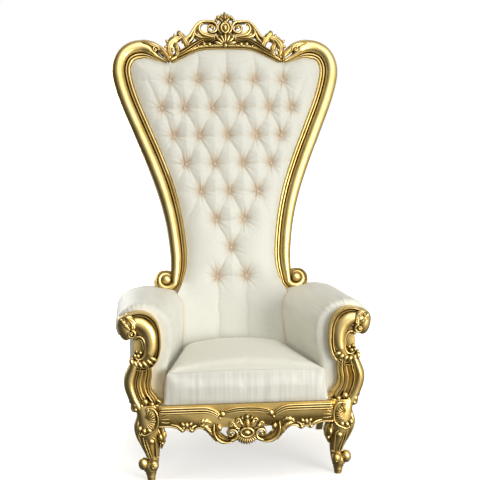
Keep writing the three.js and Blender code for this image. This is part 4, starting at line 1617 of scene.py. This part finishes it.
@dataclass
class SeatFrame:
    """The apron, the rails and the legs; lines are across, up and half width."""

    half: float = 336.0
    thick: float = 22.0
    chamfer: float = 2.5
    edge: Rows = (
        (336, 226), (296, 226), (264, 216), (248, 204), (231, 214), (212, 202), (195, 215), (176, 216),
        (158, 206), (143, 192), (130, 175), (118, 162), (111, 172), (110, 195), (105, 212), (70, 213),
        (40, 202), (0, 198),
    )
    lip_points: int = 12
    lip_half: float = 4.0
    reed_lines: Sequence[Rows] = (
        ((327, 288, 15), (180, 288, 15), (148, 285, 14), (124, 275, 12), (107, 263, 8), (100, 254, 4)),
        ((-2, 286, 12), (40, 284, 12), (68, 279, 11), (88, 276, 8), (100, 281, 4)),
    )
    reeds: Rows = (
        (-1, 2), (-0.85, 8), (-0.6, 10), (-0.4, 7), (-0.32, 3), (-0.2, 7), (0.05, 9), (0.25, 6), (0.33, 2),
        (0.5, 7), (0.75, 8), (1, 3),
    )
    scroll: Rows = (
        (124, 232, 6), (122, 206, 12), (112, 182, 16), (95, 168, 16), (76, 162, 11), (62, 162, 9),
    )
    crescent: Rows = (
        (-1, 5), (-0.85, 14), (-0.7, 13), (-0.55, 7), (-0.35, 4), (-0.1, 6), (0.1, 13), (0.4, 18),
        (0.68, 17), (0.9, 12), (1, 4),
    )
    apron_side: Carving = Carving(
        ribs=(
            (((292, 234, 3), (268, 227, 6), (253, 214, 6.5), (251, 206, 5)), 11, 16),
            (((196, 227, 3), (208, 221, 6), (214, 211, 6.5), (209, 203, 5)), 11, 16),
            (((328, 264, 2.5), (313, 269, 3), (298, 269, 2)), 6, 3),
            (((328, 254, 2.5), (313, 255, 3), (298, 255, 2)), 6, 3),
            (((328, 244, 2.5), (313, 241, 3), (298, 241, 2)), 6, 3),
            (((12, 214, 5), (17, 228, 6), (24, 240, 5)), 13, 4, 3),
            (((30, 208, 5), (42, 214, 6), (50, 224, 5)), 12, 4, 3),
        ),
        leaves=(
            (((186, 228, 4), (172, 240, 9), (156, 243, 9), (140, 236, 4)), 4, 9, 2, 2),
            (((180, 226, 4), (163, 223, 9), (149, 210, 11), (138, 193, 9), (126, 174, 4)), 5, 11, 8, 2, 0,
             0.25),
        ),
        volutes=(
            (Curl(58, 188, 25, 7, 8.5, 4, -85, -420), 17, 20, 6, 13),
            (Curl(244, 217, 9, 3, 4, 3, 200, 380), 11, 16, 4, 6, 1),
            (Curl(219, 215, 9, 3, 4, 3, -20, -380), 11, 16, 4, 6, 1),
            (Curl(34, 240, 11, 4, 5, 3, 200, -400), 12, 6, 4, 6, 4),
            (Curl(58, 226, 10, 4, 5, 3, 180, -400), 11, 6, 4, 6, 4),
        ),
        lobes=(
            (94, 268, 25, 25, 9, 0, 3), (232, 228, 20, 26, 10, 0, 2, 0.2),
            (246, 233, 15, 22, 9, 50, 2, 0.2), (218, 233, 15, 22, 9, -50, 2, 0.2),
            (107, 216, 20, 30, 12, 20, 4), (22, 232, 16, 34, 10, 30, 4), (46, 221, 15, 28, 10, 50, 4),
            (18, 252, 10, 16, 9, 20, 6),
        ),
        pearls=((94, 268, 6, 9), (104, 254, 6, 6), (250, 210, 8, 6), (213, 209, 8, 6)),
    )
    apron_middle: Carving = Carving(
        fans=((0, 198, 20, 54, range(-150, -29, 12), 11, 9, 3),),
        lobes=(
            (0, 194, 36, 26, 17, 0, 3), (0, 190, 62, 50, 9, 0, 0), (0, 168, 62, 36, 8, 0, -2),
            (0, 234, 22, 46, 13, 0, 6, -0.5), (0, 238, 7, 36, 17, 0, 6),
        ),
        pearls=((0, 257, 8, 9),),
        rings=((0, 194, 24, 18, 5.5, 10),),
    )
    # Levels of the front leg: up, across, half width, front, rear and squareness.
    leg_rings: Rows = (
        (RAIL_TOP, 379, 49, -386, -314, 3.2), (262, 376, 44, -392, -316, 3),
        (215, 376, 45, -394, -318, 2.2), (180, 375, 50, -390, -322, 1.7), (140, 369, 38, -384, -326, 1.5),
        (100, 361, 27, -378, -328, 1.5), (84, 361, 25, -377, -328, 1.8), (62, 369, 30, -384, -326, 2),
        (42, 370, 26, -382, -332, 2), (30, 368, 20, -378, -336, 2), (0, 367, 14, -374, -346, 2),
    )
    leg: Carving = Carving(
        ribs=(
            (((374, 297, 3.5), (359, 294, 5), (347, 280, 5.5), (341, 259, 5.5), (341, 238, 5.5),
             (346, 219, 5.5), (358, 206, 5), (374, 198, 4.5), (392, 191, 4), (404, 196, 3.5)), 11, 14, 31),
            (((412, 276, 5), (413, 250, 9), (419, 220, 12), (418, 196, 11), (412, 170, 8), (398, 138, 5)),
             18, 14, 4),
            (((398, 180, 3), (393, 152, 3.5), (383, 124, 3.5), (374, 98, 3)), 10, 12, 20),
            (((387, 178, 3), (382, 150, 3.5), (373, 122, 3.5), (365, 98, 3)), 10, 12, 22),
            (((379, 160, 3), (377, 174, 3.5), (367, 181, 4), (355, 175, 4), (350, 158, 3.5), (348, 128, 3),
             (347, 100, 2.5)), 10, 12, 22),
            (((352, 214, 4), (341, 208, 6), (336, 190, 7), (337, 168, 6), (330, 154, 5), (322, 158, 4)), 15,
             16, 10),
        ),
        leaves=(
            (((340, 226, 5), (325, 206, 11), (318, 180, 12), (321, 152, 8), (328, 128, 3)), 4, 13, 14, 2,
             4),
        ),
        volutes=(
            (Curl(379, 289, 8, 3, 4, 2.5, 110, -400), 9, 12, 4, 6, 33),
            (Curl(404, 198, 10, 3, 4, 2.5, 60, -400), 8, 12, 4, 6, 26),
            (Curl(425, 290, 14, 4, 6.5, 4, 80, -420), 20, 22, 7, 18),
            (Curl(356, 64, 11, 3, 2.5, 1.5, 130, -430), 4, 12, 3, 2, 33),
        ),
        fans=((394, 246, 10, 46, range(112, 252, 14), 7.5, 6, 31),),
        lobes=(
            (411, 216, 20, 26, 11, -20, 26), (394, 208, 19, 24, 11, -10, 31),
            (374, 210, 20, 24, 10, 30, 31), (367, 163, 26, 26, 9, 0, 24),
            (331, 178, 20, 36, 14, 6, 16, -0.3), (324, 152, 16, 20, 12, 0, 12),
            (326, 216, 16, 26, 11, 30, 10), (397, 70, 40, 50, 21, 0, 8), (357, 66, 38, 44, 20, 0, 17),
            (368, 18, 32, 34, 15, 0, 2),
        ),
        rings=((361, 94, 22, 3.5, 4, 10), (369, 38, 21, 3.5, 4, 0), (368, 27, 18, 3, 3.5, 0)),
    )
    # Levels of the back leg: up, front, rear and half width.
    back_leg: Rows = (
        (RAIL_TOP, 44, 84, 18), (225, 50, 88, 18), (150, 78, 110, 16), (80, 118, 144, 14.5),
        (30, 156, 180, 14), (0, 180, 206, 14),
    )
    back_leg_x: float = 390.0
    edge_round: float = 0.004
    deck_round: float = 0.003
    deck_gap: float = 0.001

    def board(self) -> Shell:
        """Cuts the apron's plain board with its shaped lower edge.

        Returns:
            The closed skin.
        """
        right = np.vstack([[self.half, RAIL_TOP], spline(self.edge, 5)])
        across, up = np.vstack([right, right[::-1][1:] * [-1, 1]]).T
        levels = ((-self.thick, 0.0), (-self.chamfer, 0.0), (0.0, self.chamfer))
        return loft([np.column_stack([across, np.full(len(up), out), up + inset]) for out, inset in levels])

    def apron_shells(self) -> List[Shell]:
        """Carves the apron: reeded moulding, open scrolls, oval, shell and leaves.

        Returns:
            The closed skins.
        """
        back = self.thick - 2
        reeds = moulding(self.reeds, reference=9, back=back)
        lip = spline(self.edge[: self.lip_points], 5)
        side = [
            *(sweep(spline(line, 10), reeds) for line in self.reed_lines),
            sweep(np.column_stack([lip, np.full(len(lip), self.lip_half)]), half_round(rise=7, back=4)),
            sweep(spline(self.scroll), moulding(self.crescent, reference=11, back=back)),
            *self.apron_side.shells(),
        ]
        return [self.board(), *self.apron_middle.shells(), *both_sides(side)]

    def leg_ring(self, row: Sequence[float], corners: int) -> np.ndarray:
        """Draws one level of the front leg as a rounded diamond or square.

        Args:
            row: One row of leg_rings.
            corners: Number of points.

        Returns:
            The ring's points as across, out and up.
        """
        up, across, half, front, rear, power = row
        angle = np.linspace(0, 2 * np.pi, corners, endpoint=False)
        c, s = np.cos(angle), np.sin(angle)
        size = (np.abs(c) ** power + np.abs(s) ** power) ** (-1 / power)
        middle, deep = (front + rear) / 2, (rear - front) / 2
        out = FRONT_PLANE_Y - middle - deep * size * s
        return np.column_stack([across + half * size * c, out, np.full(corners, up)])

    def leg_shells(self) -> List[Shell]:
        """The right front leg with its cartouche, bracket leaf, ridges and scrolled foot."""
        body = loft([self.leg_ring(row, 48) for row in spline(self.leg_rings)])
        return [body, *self.leg.shells()]

    def bar(self, name: str, low: Vector, high: Vector, round_by: float) -> bpy.types.Object:
        """Makes a straight bar with rounded edges.

        Args:
            name: Name of the piece.
            low: Its lowest corner, in metres.
            high: Its highest corner, in metres.
            round_by: How far the edges are rounded, in metres.

        Returns:
            The new object.
        """
        Bench.clear()
        bpy.ops.mesh.primitive_cube_add(size=1)
        piece = bpy.context.object
        piece.name = name
        piece.data.transform(Matrix.Translation((low + high) / 2) @ Matrix.Diagonal((*(high - low), 1)))
        with Bench.editing(piece):
            bpy.ops.mesh.bevel(offset=round_by, segments=3, affect="EDGES")
        return piece

    def build_rails(self) -> None:
        """Makes the side rails, the back rail and the seat deck from their solids' boxes."""
        for node in ("side_rail_left", "side_rail_right", "back_rail"):
            low, high = (Vector(corner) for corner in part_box(node))
            rail = self.bar(f"gilt_{node}", low, high, self.edge_round)
            Bench.dress(rail, 35, 0.0, GOLD, Slot.GILT, node)
        low, high = (Vector(corner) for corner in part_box("seat_deck"))
        low.y = max(low.y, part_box("front_leg_left")[1][1] + self.deck_gap)
        deck = self.bar("cloth_seat_deck", low, high, self.deck_round)
        Bench.dress(deck, 35, 0.0, LINING, Slot.DECK, "seat_deck")

    def back_leg_piece(self, name: str, side: int) -> bpy.types.Object:
        """Extrudes a plain sabre leg downwards from its top.

        Args:
            name: Name of the piece.
            side: 1 on the right and -1 on the left.

        Returns:
            The new object.
        """
        places = [Vector((side * self.back_leg_x, (front + rear) / 2 + SHIFT_Y, up)) * MM
                  for up, front, rear, _ in self.back_leg]
        sizes = [Vector((2 * half, rear - front)) * MM for _, front, rear, half in self.back_leg]
        Bench.clear()
        bpy.ops.mesh.primitive_plane_add(size=1)
        piece = bpy.context.object
        piece.name = name
        piece.data.transform(Matrix.Translation(places[0]) @ Matrix.Diagonal((*sizes[0], 1, 1)))
        with Bench.editing(piece):
            for level in range(1, len(places)):
                step = places[level] - places[level - 1]
                bpy.ops.mesh.extrude_region_move(TRANSFORM_OT_translate={"value": step})
                share = (sizes[level].x / sizes[level - 1].x, sizes[level].y / sizes[level - 1].y, 1)
                bpy.ops.transform.resize(value=share, center_override=places[level])
            bpy.ops.mesh.select_all(action="SELECT")
            bpy.ops.mesh.normals_make_consistent(inside=False)
        Bench.apply(piece, "BEVEL", width=self.edge_round, segments=3, limit_method="ANGLE",
                    angle_limit=math.radians(50))
        return piece

    def build(self) -> None:
        """Carves the apron and the front legs, and makes the rails and the plain back legs."""
        Bench.carve("gilt_front_rail", self.apron_shells(), Plane.APRON, "front_rail")
        Bench.carve_pair("front_leg", self.leg_shells(), Plane.ARMS)
        self.build_rails()
        for name, side in (("right", 1), ("left", -1)):
            leg = self.back_leg_piece(f"gilt_back_leg_{name}", side)
            Bench.dress(leg, 40, 0.0, GOLD, Slot.GILT, f"back_leg_{name}")


@dataclass
class SeatCushion:
    """The thick loose seat cushion, blown up by cloth simulation, with a welt on its top edge."""

    bottom: float = SEAT_LINE
    top: float = 434.0
    front_half: float = 313.0
    rear_half: float = 207.0
    front_y: float = -394.0
    rear_gap: float = 36.0
    low_spread: float = 8.0
    low_forward: float = 4.0
    edge_round: float = 5.0
    voxel: float = 6.0
    pressure: float = 4.0
    frames: int = 20
    cap: float = 9.0
    held_height: float = 8.0
    front_crown: float = 10.0
    crown: float = 20.0
    rear_crown: float = 16.0
    crown_from: float = 30.0
    welt: float = 3.2
    welt_corner: float = 14.0
    welt_rear_gap: float = 60.0

    def cage(self) -> bpy.types.Object:
        """Models the cushion's plain form: a cut block, narrower to the back, with rounded edges.

        Returns:
            The new object.
        """
        Bench.clear()
        bpy.ops.mesh.primitive_cube_add(size=1)
        piece = bpy.context.object
        piece.name = "satin_seat_cushion"
        for corner in piece.data.vertices:
            right, behind, above = (side > 0 for side in corner.co)
            up = self.top if above else self.bottom
            half = self.rear_half if behind else self.front_half + (0 if above else self.low_spread)
            front = self.front_y - (0 if above else self.low_forward)
            deep = back_depth(up, -self.rear_gap) if behind else front
            corner.co = Vector((half if right else -half, deep + SHIFT_Y, up)) * MM
        with Bench.editing(piece):
            bpy.ops.mesh.bevel(offset=self.edge_round * MM, segments=2, affect="EDGES")
        Bench.apply(piece, "REMESH", mode="VOXEL", voxel_size=self.voxel * MM)
        self.crown_top(piece)
        return piece

    def crown_top(self, piece: bpy.types.Object) -> None:
        """Raises the middle of the top and, less, of its front edge.

        Args:
            piece: The cushion.
        """
        points = Bench.points(piece)
        across, deep, up = points.T / MM
        rear_y = back_depth(up, -self.rear_gap)
        t = np.clip((deep - SHIFT_Y - self.front_y) / (rear_y - self.front_y), 0, 1)
        half = self.front_half + (self.rear_half - self.front_half) * t
        bow = np.clip(1 - (across / half) ** 2, 0, 1)
        lift = (self.front_crown + self.crown * (4 * t * (1 - t)) ** 0.7 + self.rear_crown * t) * bow
        points[:, 2] += MM * lift * smooth(self.bottom + self.crown_from, self.top, up)
        piece.data.vertices.foreach_set("co", points.ravel())

    def inflate(self, piece: bpy.types.Object) -> None:
        """Blows the form up as cloth, with its underside held, and caps how far it moves.

        Args:
            piece: The cushion.
        """
        rest = Bench.points(piece)
        held = piece.vertex_groups.new(name="held")
        low = np.flatnonzero(rest[:, 2] < (self.bottom + self.held_height) * MM)
        held.add(low.tolist(), 1.0, "REPLACE")
        modifier = piece.modifiers.new("cloth", "CLOTH")
        settings = modifier.settings
        settings.use_pressure = True
        settings.uniform_pressure_force = self.pressure
        settings.vertex_group_mass = "held"
        settings.effector_weights.gravity = 0.0
        scene = bpy.context.scene
        for number in range(1, self.frames + 1):
            scene.frame_set(number)
        Bench.hold(piece)
        bpy.ops.object.modifier_apply(modifier=modifier.name)
        scene.frame_set(1)
        step = Bench.points(piece) - rest
        size = np.linalg.norm(step, axis=1)[:, None]
        step *= np.minimum(1.0, self.cap * MM / np.maximum(size, 1e-9))
        piece.data.vertices.foreach_set("co", (rest + step).ravel())
        piece.vertex_groups.clear()

    def sew_welt(self, piece: bpy.types.Object) -> None:
        """Lays a thin welt along the cushion's top edge, from the back round the front.

        Args:
            piece: The cushion.
        """
        rear = back_depth(self.top, -self.welt_rear_gap)
        half, front, corner = self.front_half, self.front_y, self.welt_corner
        ahead, beside = (half - corner, front), (half - 2, front + corner)
        right = np.array([ahead, beside, (self.rear_half + 8, rear)], float)
        path = resample(np.vstack([right[::-1] * [-1, 1], right]), 160)
        tree = Bench.tree([piece])
        spots = [tree.find_nearest(Vector((x, y + SHIFT_Y, self.top + self.cap)) * MM)[0] for x, y in path]
        spots = np.array([tuple(spot) for spot in spots]) / MM - [0, SHIFT_Y, 0]
        spots = np.column_stack([np.convolve(np.pad(c, 3, "edge"), np.ones(7) / 7, "valid") for c in spots.T])
        girth = np.linspace(0, 2 * np.pi, 10, endpoint=False)[:, None]
        rings = []
        for spot, way in zip(spots, np.gradient(spots, axis=0)):
            way = way / np.linalg.norm(way)
            beside = np.cross(way, [0, 0, 1])
            beside /= np.linalg.norm(beside)
            over = np.cross(beside, way)
            rings.append((spot + self.welt * (np.cos(girth) * beside + np.sin(girth) * over)) * [1, -1, 1])
        cord = Bench.build("satin_seat_welt", [loft(rings)], Plane.ROOM)
        # An even recess of 0.12 gives the welt a light painted shade along the seam.
        Bench.dress(cord, 60, 0.12, IVORY, Slot.SATIN)

    def build(self) -> None:
        """Models, inflates and dresses the cushion."""
        piece = self.cage()
        self.inflate(piece)
        Bench.apply(piece, "SMOOTH", iterations=6, factor=0.5)
        Bench.dress(piece, 60, 0.0, IVORY_SEAT, Slot.SATIN, "seat_cushion")
        self.sew_welt(piece)


@dataclass(frozen=True)
class Lamp:
    """A square soft lamp; mirrored is False if metal shows no image of it."""

    name: str
    place: Triple
    size: float
    power: float
    mirrored: bool = True


@dataclass(frozen=True)
class Card:
    """A soft bright patch of the surroundings that only the metal shows.

    Its brightness rises from low to high while the cosine of a direction to it goes from begin to full.
    """

    way: Triple
    begin: float
    full: float
    low: float
    high: float
    tint: Triple = (1.0, 1.0, 1.0)


@dataclass
class Studio:
    """A pale floor, soft lamps, bright cards for the metal and the camera at the photograph's angle."""

    azimuth: float = -6.60
    elevation: float = 9.24
    distance: float = 5.0
    aim_side: float = 0.020
    aim_up: float = 0.878
    lens: float = 91.8
    sensor: float = 36.0
    floor_size: float = 30.0
    floor_colour: Colour = (0.93, 0.93, 0.93, 1)
    glow_near: float = 0.42
    glow_rise: float = 0.22
    glow_strength: float = 0.95
    room_colour: Colour = (1.0, 0.95, 0.84, 1)
    room_light: float = 0.31
    lamp_aim: Triple = (0.0, 0.0, 0.9)
    lamps: Tuple[Lamp, ...] = (
        Lamp("key", (2.3, -3.3, 1.0), 1.8, 108),
        Lamp("fill", (-4.2, -2.6, 3.6), 1.6, 30, False),
        Lamp("top", (0.0, -1.0, 12.0), 6.0, 480, False),
        Lamp("rear", (-1.8, 5.0, 1.4), 2.4, 70),
    )
    cards: Tuple[Card, ...] = (
        Card((0.2, -0.8, 0.6), 0.15, 0.95, 0.1, 0.75, (0.98, 1.0, 1.08)),
        Card((0.2, -0.8, 0.7), 0.78, 0.99, 0.0, 1.9, (0.93, 1.0, 1.25)),
        Card((1.0, -0.1, 0.3), 0.4, 1.0, 0.0, 0.4),
        Card((0.8, -0.7, -0.3), 0.5, 1.0, 0.0, 0.4, (1.1, 0.98, 0.7)),
        Card((0.0, 1.0, 0.4), 0.3, 1.0, 0.0, 0.6),
    )

    def lay_floor(self) -> None:
        """Lays the pale floor, which glows more with the distance so that it has no horizon."""
        Bench.clear()
        bpy.ops.mesh.primitive_plane_add(size=self.floor_size)
        ground = bpy.context.object
        ground.name = "studio_floor"
        ground.visible_glossy = False
        ground.visible_diffuse = False
        paint = Paint("studio_floor")
        away = paint.node("ShaderNodeVectorMath", {"operation": "LENGTH"}, {0: paint.place()}, "Value")
        share = (away * self.glow_rise + self.glow_near).clamped()
        glow = paint.mix(share, (0, 0, 0, 1), (1, 1, 1, 1))
        ground.data.materials.append(paint.finish(
            Base_Color=self.floor_colour, Roughness=0.9, Emission_Color=glow,
            Emission_Strength=self.glow_strength))

    def hang(self, lamp: Lamp) -> None:
        """Hangs a lamp that points at the throne.

        Args:
            lamp: What it is and where it hangs.
        """
        light = bpy.data.lights.new(lamp.name, "AREA")
        light.size = lamp.size
        light.energy = lamp.power
        hung = bpy.data.objects.new(lamp.name, light)
        hung.location = lamp.place
        way = Vector(self.lamp_aim) - Vector(lamp.place)
        hung.rotation_euler = way.to_track_quat("-Z", "Y").to_euler()
        hung.visible_glossy = lamp.mirrored
        bpy.context.collection.objects.link(hung)

    def surround(self) -> None:
        """Surrounds the scene with white for the camera, a dim room for cloth and the cards for metal."""
        world = bpy.data.worlds.new("studio")
        world.use_nodes = True
        bpy.context.scene.world = world
        graph = Graph(world.node_tree)
        way = graph.node("ShaderNodeTexCoord", {}, {}, "Generated")
        glow: Any = (0.0, 0.0, 0.0)
        for card in self.cards:
            facing = graph.node("ShaderNodeVectorMath", {"operation": "DOT_PRODUCT"},
                                {0: way, 1: Vector(card.way).normalized()}, "Value")
            ramp = graph.node("ShaderNodeMapRange", {"interpolation_type": "SMOOTHSTEP"}, {
                "Value": facing, "From Min": card.begin, "From Max": card.full, "To Min": card.low,
                "To Max": card.high})
            glow = graph.node("ShaderNodeVectorMath", {"operation": "MULTIPLY_ADD"},
                              {0: ramp, 1: card.tint, 2: glow})
        room = graph.tree.nodes["Background"]
        graph.feed(room.inputs["Color"], self.room_colour)
        graph.feed(room.inputs["Strength"], self.room_light)
        light = Signal(graph, room.outputs[0])
        for test, colour in (("Is Glossy Ray", glow), ("Is Camera Ray", (1, 1, 1, 1))):
            seen = graph.node("ShaderNodeBackground", {}, {"Color": colour})
            share = graph.node("ShaderNodeLightPath", {}, {}, test)
            light = graph.node("ShaderNodeMixShader", {}, {0: share, 1: light, 2: seen})
        graph.feed(graph.tree.nodes["World Output"].inputs["Surface"], light)

    def set_camera(self) -> None:
        """Sets the camera where the photograph was taken from."""
        az, el = math.radians(self.azimuth), math.radians(self.elevation)
        aim = Vector((self.aim_side * math.cos(az), self.aim_side * math.sin(az) + SHIFT_Y * MM, self.aim_up))
        way = Vector((math.sin(az) * math.cos(el), -math.cos(az) * math.cos(el), math.sin(el)))
        lens = bpy.data.cameras.new("studio_camera")
        lens.lens = self.lens
        lens.sensor_width = self.sensor
        eye = bpy.data.objects.new("studio_camera", lens)
        eye.location = aim + way * self.distance
        eye.rotation_euler = (-way).to_track_quat("-Z", "Y").to_euler()
        bpy.context.collection.objects.link(eye)
        bpy.context.scene.camera = eye

    def build(self) -> None:
        """Sets the whole stage."""
        bpy.context.scene.view_settings.view_transform = "Standard"
        self.lay_floor()
        self.surround()
        for lamp in self.lamps:
            self.hang(lamp)
        self.set_camera()


SOFT_PIECES = ("satin_back_pad", "satin_arm_pad_left", "satin_arm_pad_right", "satin_seat_cushion")
SEAM_TOP = 0.70


def main() -> None:
    """Builds every sub-assembly in order."""
    logging.basicConfig(level=logging.INFO, format="%(name)s: %(message)s")
    back = BackFrame()
    for part in (Studio(), back, BackUpholstery(back), Arms(), SeatFrame(), SeatCushion()):
        log.info("building %s", type(part).__name__)
        part.build()
    Bench.shade_seams([bpy.data.objects[name] for name in SOFT_PIECES], SEAM_TOP)


if __name__ == "__main__":
    main()
